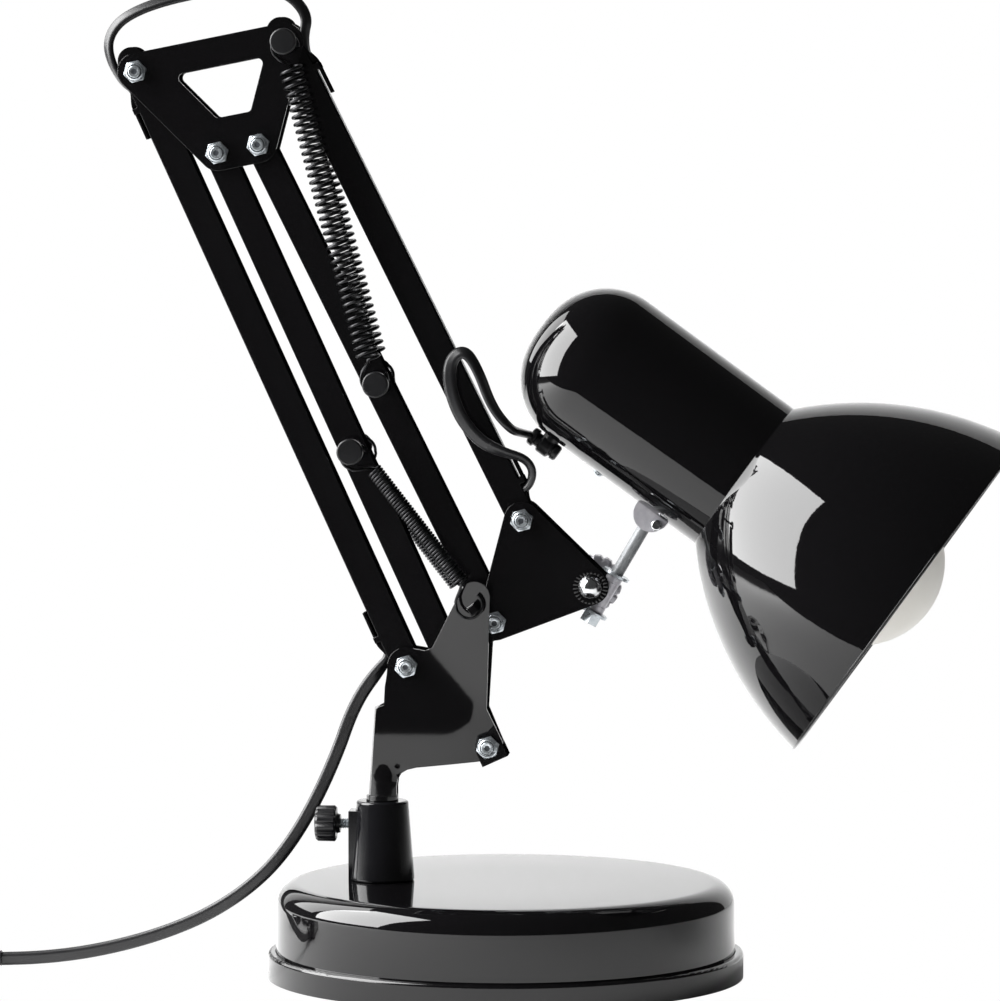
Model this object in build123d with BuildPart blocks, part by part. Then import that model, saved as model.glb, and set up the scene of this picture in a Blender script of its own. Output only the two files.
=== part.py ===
from build123d import *
from math import atan2, cos, degrees, dist, hypot, pi, radians, sin, sqrt, tan
import os

# A black swing-arm desk lamp: a weighted round base, two parallelogram arms with springs, and a spun shade.
# Millimetres. X points from the post to the shade, Y away from the viewer, Z up.
# The origin is on the table under the middle of the base, and the arms move in planes parallel to XZ.

os.makedirs("parts", exist_ok=True)

# Sheet metal, screws and clearances
SHEET = 1.2
BOLT_D = 5.0
NUT_FLATS = 8.0
NUT_H = 4.0
BOLT_HEAD_H = 3.5
THREAD_PROUD = 0.5
RUN = 0.05
SLIP = 0.02
SIDE_PLAY = 0.5
EASE = 0.3

# Base
BASE_R = 91.0
BASE_TOP = 38.2
BASE_ROUND = 9.0
SHELL = 1.2
SKIRT_PROUD = 3.4
SKIRT_R = BASE_R + SKIRT_PROUD
SKIRT_TOP = 10.7
SKIRT_FOOT = 0.6
SKIRT_ROUND = 1.5
LEDGE_DEEP = 7.0
LEDGE_R = BASE_R - LEDGE_DEEP
LEDGE_TOP = 3.5
PAD_SET = 1.0
PAD_R = BASE_R - PAD_SET
PAD_T = 1.2
WEIGHT_SET = 3.0
WEIGHT_R = BASE_R - WEIGHT_SET
WEIGHT_T = 12.0

# Post, socket and thumb screw
POST_X = -49.0
PIN_R = 3.6
PIN_IN_STEM = 24.0
COLLAR_R = 6.4
COLLAR_T = 2.0
SOCKET_H = 31.8
SOCKET_FOOT_R = 12.8
SOCKET_ROUND = 1.0
SOCKET_TOP_R = 10.3
SOCKET_FLOOR_T = 4.0
RIB_REACH = 13.1
RIB_W = 10.0
RIB_BELOW_TOP = 4.0
SOCKET_SCREW_R = 3.0
SOCKET_SCREW_HEAD_R = 5.0
SOCKET_SCREW_HEAD_H = 4.0
SOCKET_WASHER_R = 8.0
SOCKET_WASHER_T = 1.5
THUMB_BELOW_TOP = 9.4
THUMB_R = 2.0
THUMB_TIP_GAP = 0.1
KNOB_R = 7.2
KNOB_NEAR = 16.7
KNOB_L = 10.0
KNOB_FLUTES = 14
FLUTE_R = 1.2
INSERT_SIDE = 7.0
INSERT_T = 2.4
INSERT_IN = 10.6

# Arms: pivots and angles, measured from +X towards +Z
LOWER_PIVOT_X = 10.3
LOWER_PIVOT_Z = 124.2
LOWER_LINK = 45.4
LOWER_LINK_ANGLE = -44.6
LOWER_ARM = 257.6
LOWER_ANGLE = 114.5
ELBOW_STEP = 16.6
ELBOW_STEP_ANGLE = 11.2
UPPER_LINK = 41.9
UPPER_LINK_ANGLE = 75.4
UPPER_ARM = 210.0
UPPER_ANGLE = -63.6
NOSE_STEP = 40.3
NOSE_STEP_ANGLE = 20.8

# Bars
BAR_W = 11.0
BAR_D = 11.0
BAR_WALL = 1.0
BAR_TAIL = 6.5
BAR_NOSE = 4.5
INNER_BAR_NOSE = 1.5
TONGUE_LIFT = 1.3
TONGUE_T = 1.0
TONGUE_W = 7.0
TONGUE_L = 13.0
TONGUE_ROOT = 2.4
TONGUE_AT = 13.0
EXIT_SET = 12.0
ENTRY_SET = 11.0
OPEN_RUN = 0.15

# Elbow plates
ELBOW_LUG = 7.2
WINDOW_TOP = 4.4
WINDOW_LEFT = 9.4
WINDOW_BOTTOM = 13.4
WINDOW_RIGHT = 6.3
WINDOW_ROUND = 2.0

# Lower bracket
LOWER_LUG = 7.4
FRONT_LUG = 5.7
CREASE_START_DX = 9.7
CREASE_START_DZ = 5.3
CREASE_END_DX = -0.6
CREASE_END_DZ = 15.1
EAR_FLARE = 15.0
EAR_R = 6.0
EAR_ALONG = -3.7
EAR_REACH = 30.3
TAB_ALONG = -0.6
TAB_REACH = 26.4
TAB_SIDE = 3.6
TAB_PROUD = 4.6
STEM_RIGHT = 6.0
NECK_Z = 82.0
PLATE_LEFT = 9.3
WEB_TOP = 108.0

# Pegs and springs
PEG_R = 2.0
CAP_R = 5.2
CAP_T = 3.0
CAP_ROUND = 0.8
CAP_GRIP = 2.0
LOWER_PEG_AT = 129.0
UPPER_PEG_AT = 105.0
LOWER_SPRING_Y = 16.7
UPPER_SPRING_Y = 11.7
LOWER_WIRE_R = 0.55
LOWER_COIL_R = 2.5
LOWER_COIL_L = 55.0
LOWER_COIL_ASIDE = 3.0
UPPER_WIRE_R = 0.6
UPPER_COIL_R = 3.3
UPPER_COIL_L = 119.0
EYE_R = 5.2
EYE_FROM = 75.0
EYE_TO = 310.0
HALF_TURNS = 45

# Head bracket, knuckle and tilt knob
HEAD_LUG = 7.2
WEB_FROM = 8.0
WEB_TO = 24.0
TILT_SCREW_R = 2.5
TILT_HEAD_R = 4.5
TILT_HEAD_H = 2.6
TILT_KNOB_R = 11.0
TILT_LOBE_R = 2.0
TILT_LOBES = 15
TILT_KNOB_T = 9.0
TILT_SCREW_IN_KNOB = 7.0
KNUCKLE_R = 6.4
ROD_BLOCK_R = 5.5
ROD_BLOCK_HALF = 8.0
ROD_ASIDE = 6.2
ROD_ANGLE = 59.7
ROD_R = 2.5
ROD_THIN_R = 2.0
ROD_WASHER_R = 5.6
ROD_WASHER_T = 1.2
ROD_NUT_FLATS = 7.0
ROD_NUT_H = 4.0
ROD_TO_LUG = 36.7

# Head, along its axis from the crease where neck and bell meet
HEAD_ANGLE = -35.85
HEAD_TURN = -2.5
CREASE_BEYOND_LUG = 20.6
LUG_OUT = 33.6
NECK_L = 99.2
NECK_R = 32.9
NECK_ROUND = 28.0
CREASE_R = 32.8
BELL_L = 78.8
BELL_R = 74.9
BELL_MID_L = 29.3
BELL_MID_R = 56.8
SHADE_WALL = 0.9
RIM_BEAD_R = 1.0
LUG_R = 7.2
LUG_T = 6.0
LUG_SCREW_R = 1.2
LUG_SCREW_HEAD_R = 2.3
LUG_SCREW_HEAD_H = 2.0
LUG_SCREW_ALONG = 4.3
LUG_SCREW_OUT = 2.4
ROD_END_SHORT = 3.2
HOLDER_R = 20.0
HOLDER_MOUTH = -6.0
HOLDER_BORE_FLOOR = -38.0
CAP_SHELL_R = 13.2
BULB_CAP_FROM = -36.0
BULB_CAP_TO = -5.5
BULB_R = 33.0
BULB_CENTRE = 56.8
BULB_NECK_R = 14.0
CONTACT_SIDE = 8.0
CONTACT_T = 1.2
GLAND_SET = 22.0
GLAND_FROM = -NECK_L + GLAND_SET
GLAND_L = 14.0
GLAND_PROUD = 3.9
GLAND_OUT = NECK_R + GLAND_PROUD
GLAND_R = 4.2
GLAND_BOSS_R = 3.4

# Flex, switch, coil and plug
CORD_D = 4.4
FLEX_T = 3.2
FLEX_W = 5.4
FLEX_AT = 4.4
FLEX_EASE = 0.7
SWITCH_X = -226.0
SWITCH_L = 56.0
SWITCH_W = 22.0
SWITCH_H = 13.0
SWITCH_ROUND = 4.0
SWITCH_CORD_Z = 4.6
ROCKER_L = 16.0
ROCKER_W = 8.0
ROCKER_DEEP = 5.0
ROCKER_PROUD = 1.2
TRUNNION_R = 1.5
TRUNNION_L = 1.5
COIL_X = -314.0
COIL_Y = 38.5
COIL_R = 38.5
COIL_GAP = 0.6
COIL_LIFT = 1.2
COIL_HALF_TURNS_IN = 8
COIL_STEP_OUT = 2.6
TIE_W = 6.0
TIE_T = 0.8
TIE_GAP = 0.2
PLUG_X = -278.0
PLUG_L = 36.0
PLUG_W = 26.0
PLUG_ROUND = 4.0
PLUG_PIN_R = 2.0
PLUG_PIN_L = 19.0
PLUG_PIN_STEP = 19.0

# Faces of the bars and plates, measured from the arms' middle plane
PLATE_IN = BAR_D / 2 + SIDE_PLAY
PLATE_OUT = PLATE_IN + SHEET
THROUGH = 4 * PLATE_OUT
SOCKET_TOP = BASE_TOP + SOCKET_H
SOCKET_FLOOR = BASE_TOP + SOCKET_FLOOR_T
STEM_FOOT = SOCKET_TOP + THUMB_TIP_GAP + COLLAR_T
THUMB_Z = SOCKET_TOP - THUMB_BELOW_TOP


def step(point, length, angle):
    """The point at this distance and angle from another, in X and Z."""
    return (point[0] + length * cos(radians(angle)), point[1] + length * sin(radians(angle)))


def beside(point, angle, along, aside):
    """A point along a direction and to its left, in X and Z."""
    return step(step(point, along, angle), aside, angle + 90)


def keep(piece, name):
    """Labels a finished piece and writes it to its file."""
    piece.part.label = name
    export_step(piece.part, f"parts/{name}.step")


# Pivots in X and Z: low and high ends of the lower arm, then of the upper arm, then the head's tilt pivot
P1 = (POST_X + LOWER_PIVOT_X, LOWER_PIVOT_Z)
P2 = step(P1, LOWER_LINK, LOWER_LINK_ANGLE)
P3 = step(P1, LOWER_ARM, LOWER_ANGLE)
P4 = step(P2, LOWER_ARM, LOWER_ANGLE)
P5 = step(P4, ELBOW_STEP, ELBOW_STEP_ANGLE)
P6 = step(P5, UPPER_LINK, UPPER_LINK_ANGLE)
P7 = step(P6, UPPER_ARM, UPPER_ANGLE)
P8 = step(P5, UPPER_ARM, UPPER_ANGLE)
P9 = step(P8, NOSE_STEP, NOSE_STEP_ANGLE)
LOWER_PEG = step(P2, LOWER_PEG_AT, LOWER_ANGLE)
UPPER_PEG = step(P5, UPPER_PEG_AT, UPPER_ANGLE)

# Base shell, skirt, weight and pad
with BuildPart() as base_shell:
    with Locations((0, 0, LEDGE_TOP)):
        Cylinder(BASE_R, BASE_TOP - LEDGE_TOP, align=(Align.CENTER, Align.CENTER, Align.MIN))
    fillet(base_shell.edges().filter_by(GeomType.CIRCLE).sort_by(Axis.Z)[-1], BASE_ROUND)
    offset(amount=-SHELL, openings=base_shell.faces().sort_by(Axis.Z)[0])
    with Locations((POST_X, 0, BASE_TOP)):
        Hole(SOCKET_SCREW_R + EASE)
keep(base_shell, "base_shell")

with BuildPart() as base_skirt:
    with BuildSketch(Plane.XZ):
        with BuildLine():
            Polyline(
                (LEDGE_R, PAD_T),
                (PAD_R + EASE, PAD_T),
                (PAD_R + EASE, SKIRT_FOOT),
                (SKIRT_R, SKIRT_FOOT),
                (SKIRT_R, SKIRT_TOP),
                (BASE_R + EASE, SKIRT_TOP),
                (BASE_R + EASE, LEDGE_TOP),
                (LEDGE_R, LEDGE_TOP),
                close=True,
            )
        make_face()
    revolve(axis=Axis.Z)
    fillet(base_skirt.edges().filter_by(GeomType.CIRCLE).group_by(Axis.Z)[-1].sort_by(SortBy.RADIUS)[-1], SKIRT_ROUND)
keep(base_skirt, "base_skirt")

with BuildPart() as base_weight:
    with Locations((0, 0, LEDGE_TOP)):
        Cylinder(WEIGHT_R, WEIGHT_T, align=(Align.CENTER, Align.CENTER, Align.MIN))
keep(base_weight, "base_weight")

with BuildPart() as base_pad:
    Cylinder(PAD_R, PAD_T, align=(Align.CENTER, Align.CENTER, Align.MIN))
keep(base_pad, "base_pad")

# Socket with its screw, insert and thumb screw
POST_AXIS = Axis((POST_X, 0, 0), (0, 0, 1))
POST_PLANE = Plane(origin=(POST_X, 0, 0), x_dir=(1, 0, 0), z_dir=(0, -1, 0))
THUMB_PLANE = Plane(origin=(POST_X, 0, THUMB_Z), x_dir=(0, 1, 0), z_dir=(-1, 0, 0))

with BuildPart() as post_socket:
    with BuildSketch(POST_PLANE):
        with BuildLine():
            FilletPolyline(
                (0, BASE_TOP),
                (SOCKET_FOOT_R, BASE_TOP),
                (SOCKET_TOP_R, SOCKET_TOP),
                (0, SOCKET_TOP),
                radius=SOCKET_ROUND,
            )
            Line((0, SOCKET_TOP), (0, BASE_TOP))
        make_face()
    revolve(axis=POST_AXIS)
    with BuildSketch(Plane.XY.offset(BASE_TOP)):
        with Locations((POST_X - RIB_REACH / 2, 0)):
            Rectangle(RIB_REACH, RIB_W)
    extrude(amount=SOCKET_H - RIB_BELOW_TOP)
    with BuildSketch(Plane.XY.offset(SOCKET_FLOOR)):
        with Locations((POST_X, 0)):
            Circle(PIN_R + RUN)
    extrude(amount=SOCKET_H, mode=Mode.SUBTRACT)
    with BuildSketch(Plane.XY.offset(BASE_TOP)):
        with Locations((POST_X, 0)):
            Circle(SOCKET_SCREW_R + SLIP)
    extrude(amount=SOCKET_H / 2, mode=Mode.SUBTRACT)
    with BuildSketch(THUMB_PLANE):
        Circle(THUMB_R + RUN)
    extrude(amount=RIB_REACH + EASE, mode=Mode.SUBTRACT)
    with BuildSketch(THUMB_PLANE.offset(INSERT_IN - INSERT_T)):
        Rectangle(INSERT_SIDE + SLIP, INSERT_SIDE + SLIP)
    extrude(amount=INSERT_T + SLIP, mode=Mode.SUBTRACT)
keep(post_socket, "post_socket")

with BuildPart() as socket_screw:
    with Locations((POST_X, 0, SOCKET_FLOOR)):
        Cylinder(
            SOCKET_SCREW_R, SOCKET_FLOOR_T + SHELL, align=(Align.CENTER, Align.CENTER, Align.MAX)
        )
    with Locations((POST_X, 0, BASE_TOP - SHELL)):
        Cylinder(SOCKET_WASHER_R, SOCKET_WASHER_T, align=(Align.CENTER, Align.CENTER, Align.MAX))
    with Locations((POST_X, 0, BASE_TOP - SHELL - SOCKET_WASHER_T)):
        Cylinder(
            SOCKET_SCREW_HEAD_R, SOCKET_SCREW_HEAD_H, align=(Align.CENTER, Align.CENTER, Align.MAX)
        )
keep(socket_screw, "socket_screw")

with BuildPart() as socket_insert:
    with BuildSketch(THUMB_PLANE.offset(INSERT_IN - INSERT_T)):
        Rectangle(INSERT_SIDE, INSERT_SIDE)
        Circle(THUMB_R + RUN, mode=Mode.SUBTRACT)
    extrude(amount=INSERT_T)
keep(socket_insert, "socket_insert")

with BuildPart() as thumb_screw_shank:
    with BuildSketch(THUMB_PLANE.offset(PIN_R + THUMB_TIP_GAP)):
        Circle(THUMB_R)
    extrude(amount=KNOB_NEAR + KNOB_L - FLUTE_R - PIN_R - THUMB_TIP_GAP)
keep(thumb_screw_shank, "thumb_screw_shank")

with BuildPart() as thumb_screw_knob:
    with BuildSketch(THUMB_PLANE.offset(KNOB_NEAR)):
        Circle(KNOB_R)
        with PolarLocations(KNOB_R + FLUTE_R / 2, KNOB_FLUTES):
            Circle(FLUTE_R, mode=Mode.SUBTRACT)
    extrude(amount=KNOB_L)
    with BuildSketch(THUMB_PLANE.offset(KNOB_NEAR)):
        Circle(THUMB_R + SLIP)
    extrude(amount=KNOB_L - FLUTE_R + SLIP, mode=Mode.SUBTRACT)
keep(thumb_screw_knob, "thumb_screw_knob")

# Lower bracket: two flat plates with flared ears, joined by a folded web that runs down into the stem
CREASE_START = (P1[0] + CREASE_START_DX, P1[1] + CREASE_START_DZ)
CREASE_END = (P2[0] + CREASE_END_DX, P2[1] + CREASE_END_DZ)
CREASE_L = hypot(CREASE_END[0] - CREASE_START[0], CREASE_END[1] - CREASE_START[1])
CREASE_ANGLE = degrees(atan2(CREASE_END[1] - CREASE_START[1], CREASE_END[0] - CREASE_START[0]))
CREASE_DIR = Vector(cos(radians(CREASE_ANGLE)), 0, sin(radians(CREASE_ANGLE)))
EAR_FLAT_DIR = Vector(-CREASE_DIR.Z, 0, CREASE_DIR.X)
TO_VIEWER = Vector(0, -1, 0)
EAR_PLANE = Plane(
    origin=(CREASE_START[0], -PLATE_IN, CREASE_START[1]),
    x_dir=CREASE_DIR,
    z_dir=TO_VIEWER * cos(radians(EAR_FLARE)) - EAR_FLAT_DIR * sin(radians(EAR_FLARE)),
)
STEM_LEFT = POST_X - PIN_R - EASE - SHEET
TAB_IN_EAR = Vector(TAB_ALONG, TAB_REACH, SHEET)
TAB_AT = EAR_PLANE.from_local_coords(TAB_IN_EAR)
TAB = (TAB_AT.X, TAB_AT.Z)
LOWER_SPRING_ANGLE = degrees(atan2(TAB[1] - LOWER_PEG[1], TAB[0] - LOWER_PEG[0]))
TAB_PLANE = Plane(
    origin=(TAB[0], TAB_AT.Y + SHEET, TAB[1]),
    x_dir=(cos(radians(LOWER_SPRING_ANGLE)), 0, sin(radians(LOWER_SPRING_ANGLE))),
    z_dir=TO_VIEWER,
)

with BuildPart() as lower_bracket:
    with BuildSketch(Plane.XZ.offset(PLATE_IN)):
        Polygon(
            (P1[0] - PLATE_LEFT, P1[1]),
            CREASE_START,
            CREASE_END,
            P2,
            (P2[0], P2[1] - FRONT_LUG),
            (POST_X + STEM_RIGHT, NECK_Z),
            (POST_X + STEM_RIGHT, STEM_FOOT),
            (STEM_LEFT, STEM_FOOT),
            (STEM_LEFT, WEB_TOP),
            (P1[0] - PLATE_LEFT, WEB_TOP),
            align=None,
        )
        with Locations(P1):
            Circle(LOWER_LUG)
        with Locations(P2):
            Circle(FRONT_LUG)
    extrude(amount=SHEET)
    with BuildSketch(EAR_PLANE):
        with Locations((EAR_ALONG, EAR_REACH)):
            Circle(EAR_R)
        with Locations((CREASE_L / 2, 0)):
            Rectangle(CREASE_L, 2 * SHEET)
        make_hull()
    extrude(amount=SHEET)
    with BuildSketch(TAB_PLANE):
        Rectangle(TAB_SIDE, TAB_SIDE)
    extrude(amount=TAB_PROUD + SHEET)
    mirror(about=Plane.XZ)
    with BuildSketch(Plane.XZ):
        with Locations(((2 * STEM_LEFT + SHEET) / 2, (WEB_TOP + STEM_FOOT) / 2)):
            Rectangle(SHEET, WEB_TOP - STEM_FOOT)
    extrude(amount=PLATE_OUT, both=True)
    with BuildSketch(Plane.XZ):
        with Locations(P1, P2):
            Circle(BOLT_D / 2 + RUN)
    extrude(amount=THROUGH, both=True, mode=Mode.SUBTRACT)
keep(lower_bracket, "lower_bracket")

with BuildPart() as post_pin:
    with Locations((POST_X, 0, SOCKET_FLOOR + THUMB_TIP_GAP)):
        Cylinder(
            PIN_R,
            STEM_FOOT + PIN_IN_STEM - SOCKET_FLOOR - THUMB_TIP_GAP,
            align=(Align.CENTER, Align.CENTER, Align.MIN),
        )
    with Locations((POST_X, 0, STEM_FOOT)):
        Cylinder(COLLAR_R, COLLAR_T, align=(Align.CENTER, Align.CENTER, Align.MAX))
keep(post_pin, "post_pin")


# Bolts with hexagon heads on the far side and nuts on the near side
def bolt_set(pivots, name):
    with BuildPart() as made:
        with BuildSketch(Plane.XZ.offset(-PLATE_OUT)):
            with Locations(*pivots):
                RegularPolygon(NUT_FLATS / 2, 6, major_radius=False)
        extrude(amount=-BOLT_HEAD_H)
        with BuildSketch(Plane.XZ.offset(-PLATE_OUT)):
            with Locations(*pivots):
                Circle(BOLT_D / 2)
        extrude(amount=2 * PLATE_OUT + NUT_H + THREAD_PROUD)
    keep(made, name)


def nut_set(pivots, name):
    with BuildPart() as made:
        with BuildSketch(Plane.XZ.offset(PLATE_OUT)):
            with Locations(*pivots):
                RegularPolygon(NUT_FLATS / 2, 6, major_radius=False)
                Circle(BOLT_D / 2 + SLIP, mode=Mode.SUBTRACT)
        extrude(amount=NUT_H)
    keep(made, name)


bolt_set((P1, P2), "lower_pivot_bolts")
nut_set((P1, P2), "lower_pivot_nuts")
bolt_set((P3, P4, P5), "elbow_bolts")
nut_set((P3, P4, P5), "elbow_nuts")
bolt_set((P7, P8), "head_bracket_bolts")
nut_set((P7, P8), "head_bracket_nuts")


# Bars: folded channels, square at one end and round at the elbow, with tongues that hold the flex
def bar_plane(start, angle, side):
    """A bar's plane: x along the bar, and y towards its open side, which is its left for side 1."""
    along = (cos(radians(angle)), 0, sin(radians(angle)))
    return Plane(origin=(start[0], 0, start[1]), x_dir=along, z_dir=(0, -side, 0))


def arm_bar(name, plane, length, nose, bores, tongues=(), peg_at=None):
    """A channel with its square end at the plane's origin. A tongue has a root place and a direction."""
    with BuildPart() as made:
        with BuildSketch(plane):
            with Locations(((length + nose - BAR_TAIL) / 2, 0)):
                Rectangle(length + nose + BAR_TAIL, BAR_W)
            with Locations((length + nose, 0)):
                Circle(BAR_W / 2)
        extrude(amount=BAR_D / 2, both=True)
        for root, way in tongues:
            with BuildSketch(plane):
                with Locations((root + way * TONGUE_ROOT / 2, BAR_W / 2 + (TONGUE_LIFT + TONGUE_T - BAR_WALL) / 2)):
                    Rectangle(TONGUE_ROOT, TONGUE_LIFT + TONGUE_T + BAR_WALL)
            extrude(amount=BAR_D / 2, both=True)
            with BuildSketch(plane):
                with Locations((root + way * TONGUE_L / 2, BAR_W / 2 + TONGUE_LIFT + TONGUE_T / 2)):
                    Rectangle(TONGUE_L, TONGUE_T)
            extrude(amount=TONGUE_W / 2, both=True)
        with BuildSketch(plane):
            with Locations((length / 2, (BAR_WALL + FLEX_EASE) / 2)):
                Rectangle(2 * length, BAR_W - BAR_WALL + FLEX_EASE)
        extrude(amount=BAR_D / 2 - BAR_WALL, both=True, mode=Mode.SUBTRACT)
        for place, play in bores:
            with BuildSketch(plane):
                with Locations((place, 0)):
                    Circle(BOLT_D / 2 + play)
            extrude(amount=BAR_D, both=True, mode=Mode.SUBTRACT)
        if peg_at is not None:
            with BuildSketch(plane):
                with Locations((peg_at, 0)):
                    Circle(PEG_R + SLIP)
            extrude(amount=BAR_D, both=True, mode=Mode.SUBTRACT)
    keep(made, name)


LOWER_REAR = bar_plane(P1, LOWER_ANGLE, 1)
LOWER_FRONT = bar_plane(P2, LOWER_ANGLE, 1)
UPPER_REAR = bar_plane(P7, UPPER_ANGLE + 180, -1)
UPPER_FRONT = bar_plane(P8, UPPER_ANGLE + 180, -1)
arm_bar(
    "lower_rear_bar",
    LOWER_REAR,
    LOWER_ARM,
    BAR_NOSE,
    ((0, RUN), (LOWER_ARM, RUN)),
    ((TONGUE_AT, 1), (LOWER_ARM - TONGUE_AT, -1)),
)
arm_bar(
    "lower_front_bar",
    LOWER_FRONT,
    LOWER_ARM,
    INNER_BAR_NOSE,
    ((0, RUN), (LOWER_ARM, OPEN_RUN)),
    peg_at=LOWER_PEG_AT,
)
arm_bar(
    "upper_rear_bar",
    UPPER_REAR,
    UPPER_ARM,
    BAR_NOSE,
    ((0, RUN), (UPPER_ARM, RUN)),
    ((TONGUE_AT, 1), (UPPER_ARM - TONGUE_AT, -1)),
)
arm_bar(
    "upper_front_bar",
    UPPER_FRONT,
    UPPER_ARM,
    INNER_BAR_NOSE,
    ((0, OPEN_RUN), (UPPER_ARM, RUN)),
    peg_at=UPPER_ARM - UPPER_PEG_AT,
)


# Flex lying in the channels of the two outer bars
def bar_flex(name, plane, start, end):
    with BuildPart() as made:
        with BuildSketch(plane):
            with Locations(((start + end) / 2, FLEX_AT)):
                Rectangle(end - start, FLEX_T)
        extrude(amount=FLEX_W / 2, both=True)
    keep(made, name)


bar_flex("lower_arm_cord", LOWER_REAR, EXIT_SET, LOWER_ARM + BAR_NOSE)
bar_flex("upper_arm_cord", UPPER_REAR, EXIT_SET, UPPER_ARM - ENTRY_SET)


# Elbow plates: four lugs round a window whose edges run beside the lines between the pivots
def inset_corner(corner, before, after, margin_before, margin_after):
    """Where two edges of a polygon meet once each has moved to its left by its margin."""
    a = atan2(corner[1] - before[1], corner[0] - before[0])
    b = atan2(after[1] - corner[1], after[0] - corner[0])
    turn = sin(b - a)
    along = (margin_after - margin_before * cos(b - a)) / turn
    x = corner[0] - margin_before * sin(a) + (-along) * cos(a)
    z = corner[1] + margin_before * cos(a) + (-along) * sin(a)
    return (x, z)


FRAME = (P4, P5, P6, P3)
MARGINS = (WINDOW_BOTTOM, WINDOW_RIGHT, WINDOW_TOP, WINDOW_LEFT)
WINDOW = [
    inset_corner(FRAME[i], FRAME[i - 1], FRAME[(i + 1) % 4], MARGINS[i - 1], MARGINS[i]) for i in range(4)
]


def elbow_plate(name, side):
    with BuildPart() as made:
        with BuildSketch(Plane.XZ.offset(side * PLATE_IN)):
            with Locations(*FRAME):
                Circle(ELBOW_LUG)
            make_hull()
            with BuildSketch(mode=Mode.SUBTRACT) as window:
                Polygon(*WINDOW, align=None)
                fillet(window.vertices(), WINDOW_ROUND)
            with Locations(*FRAME):
                Circle(BOLT_D / 2 + RUN, mode=Mode.SUBTRACT)
        extrude(amount=side * SHEET)
    keep(made, name)


elbow_plate("elbow_plate_near", 1)
elbow_plate("elbow_plate_far", -1)


# Spring pegs with plastic caps, one through each spring bar and one through the elbow
def peg(name, point, spring_y, wire_r, thick_half):
    reach = spring_y + wire_r + EASE + CAP_GRIP
    with BuildPart() as made:
        with BuildSketch(Plane.XZ):
            with Locations(point):
                Circle(PEG_R)
        extrude(amount=reach, both=True)
        if thick_half:
            with BuildSketch(Plane.XZ):
                with Locations(point):
                    Circle(BOLT_D / 2)
            extrude(amount=thick_half, both=True)
    keep(made, name)


def peg_caps(name, point, spring_y, wire_r):
    foot = spring_y + wire_r + EASE
    with BuildPart() as made:
        with BuildSketch(Plane.XZ.offset(foot)):
            with Locations(point):
                Circle(CAP_R)
        extrude(amount=CAP_T)
        fillet(made.edges().filter_by(GeomType.CIRCLE).sort_by(Axis.Y)[0], CAP_ROUND)
        with BuildSketch(Plane.XZ.offset(foot)):
            with Locations(point):
                Circle(PEG_R + SLIP)
        extrude(amount=CAP_GRIP + SLIP, mode=Mode.SUBTRACT)
        mirror(about=Plane.XZ)
    keep(made, name)


peg("lower_peg", LOWER_PEG, LOWER_SPRING_Y, LOWER_WIRE_R, 0)
peg_caps("lower_peg_caps", LOWER_PEG, LOWER_SPRING_Y, LOWER_WIRE_R)
peg("upper_peg", UPPER_PEG, UPPER_SPRING_Y, UPPER_WIRE_R, 0)
peg_caps("upper_peg_caps", UPPER_PEG, UPPER_SPRING_Y, UPPER_WIRE_R)
peg("elbow_peg", P6, UPPER_SPRING_Y, UPPER_WIRE_R, PLATE_OUT)
peg_caps("elbow_peg_caps", P6, UPPER_SPRING_Y, UPPER_WIRE_R)


# Wound wire: a chain of arc pairs through points with directions
def arc_pairs(stations):
    """Edges of two arcs each between one point with its direction and the next."""
    edges = []
    for (p0, t0), (p1, t1) in zip(stations, stations[1:]):
        v = p1 - p0
        t = t0 + t1
        bend = 2 * (1 - t0.dot(t1))
        reach = (sqrt(v.dot(t) ** 2 + bend * v.dot(v)) - v.dot(t)) / bend
        middle = ((p0 + t0 * reach) + (p1 - t1 * reach)) * 0.5
        first = Edge.make_tangent_arc(p0, t0, middle)
        edges.append(first)
        edges.append(Edge.make_tangent_arc(middle, first % 1, p1))
    return edges


def least_gap(line, diameter, samples):
    """The least gap between stretches of one tube that lie more than three diameters apart along it."""
    points = [tuple(line.position_at(i / samples)) for i in range(samples + 1)]
    apart = int(3 * diameter / (line.length / samples)) + 1
    nearest = min(dist(points[i], points[j]) for i in range(samples + 1) for j in range(i + apart, samples + 1))
    return nearest - diameter


def wound_tube(name, edges, radius, samples):
    """Sweeps a round wire along a chain of edges, and prints its least gap to itself."""
    with BuildPart() as made:
        with BuildLine() as line:
            add(edges)
        path = line.wires()[0]
        with BuildSketch(Plane(origin=path @ 0, z_dir=path % 0)):
            Circle(radius)
        sweep(path=path)
    gap = least_gap(path, 2 * radius, samples)
    section = pi * radius**2 * path.length
    print(f"{name}: length {path.length:.1f} volume/section {made.part.volume / section:.4f} least gap {gap:.2f}")
    keep(made, name)


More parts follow.
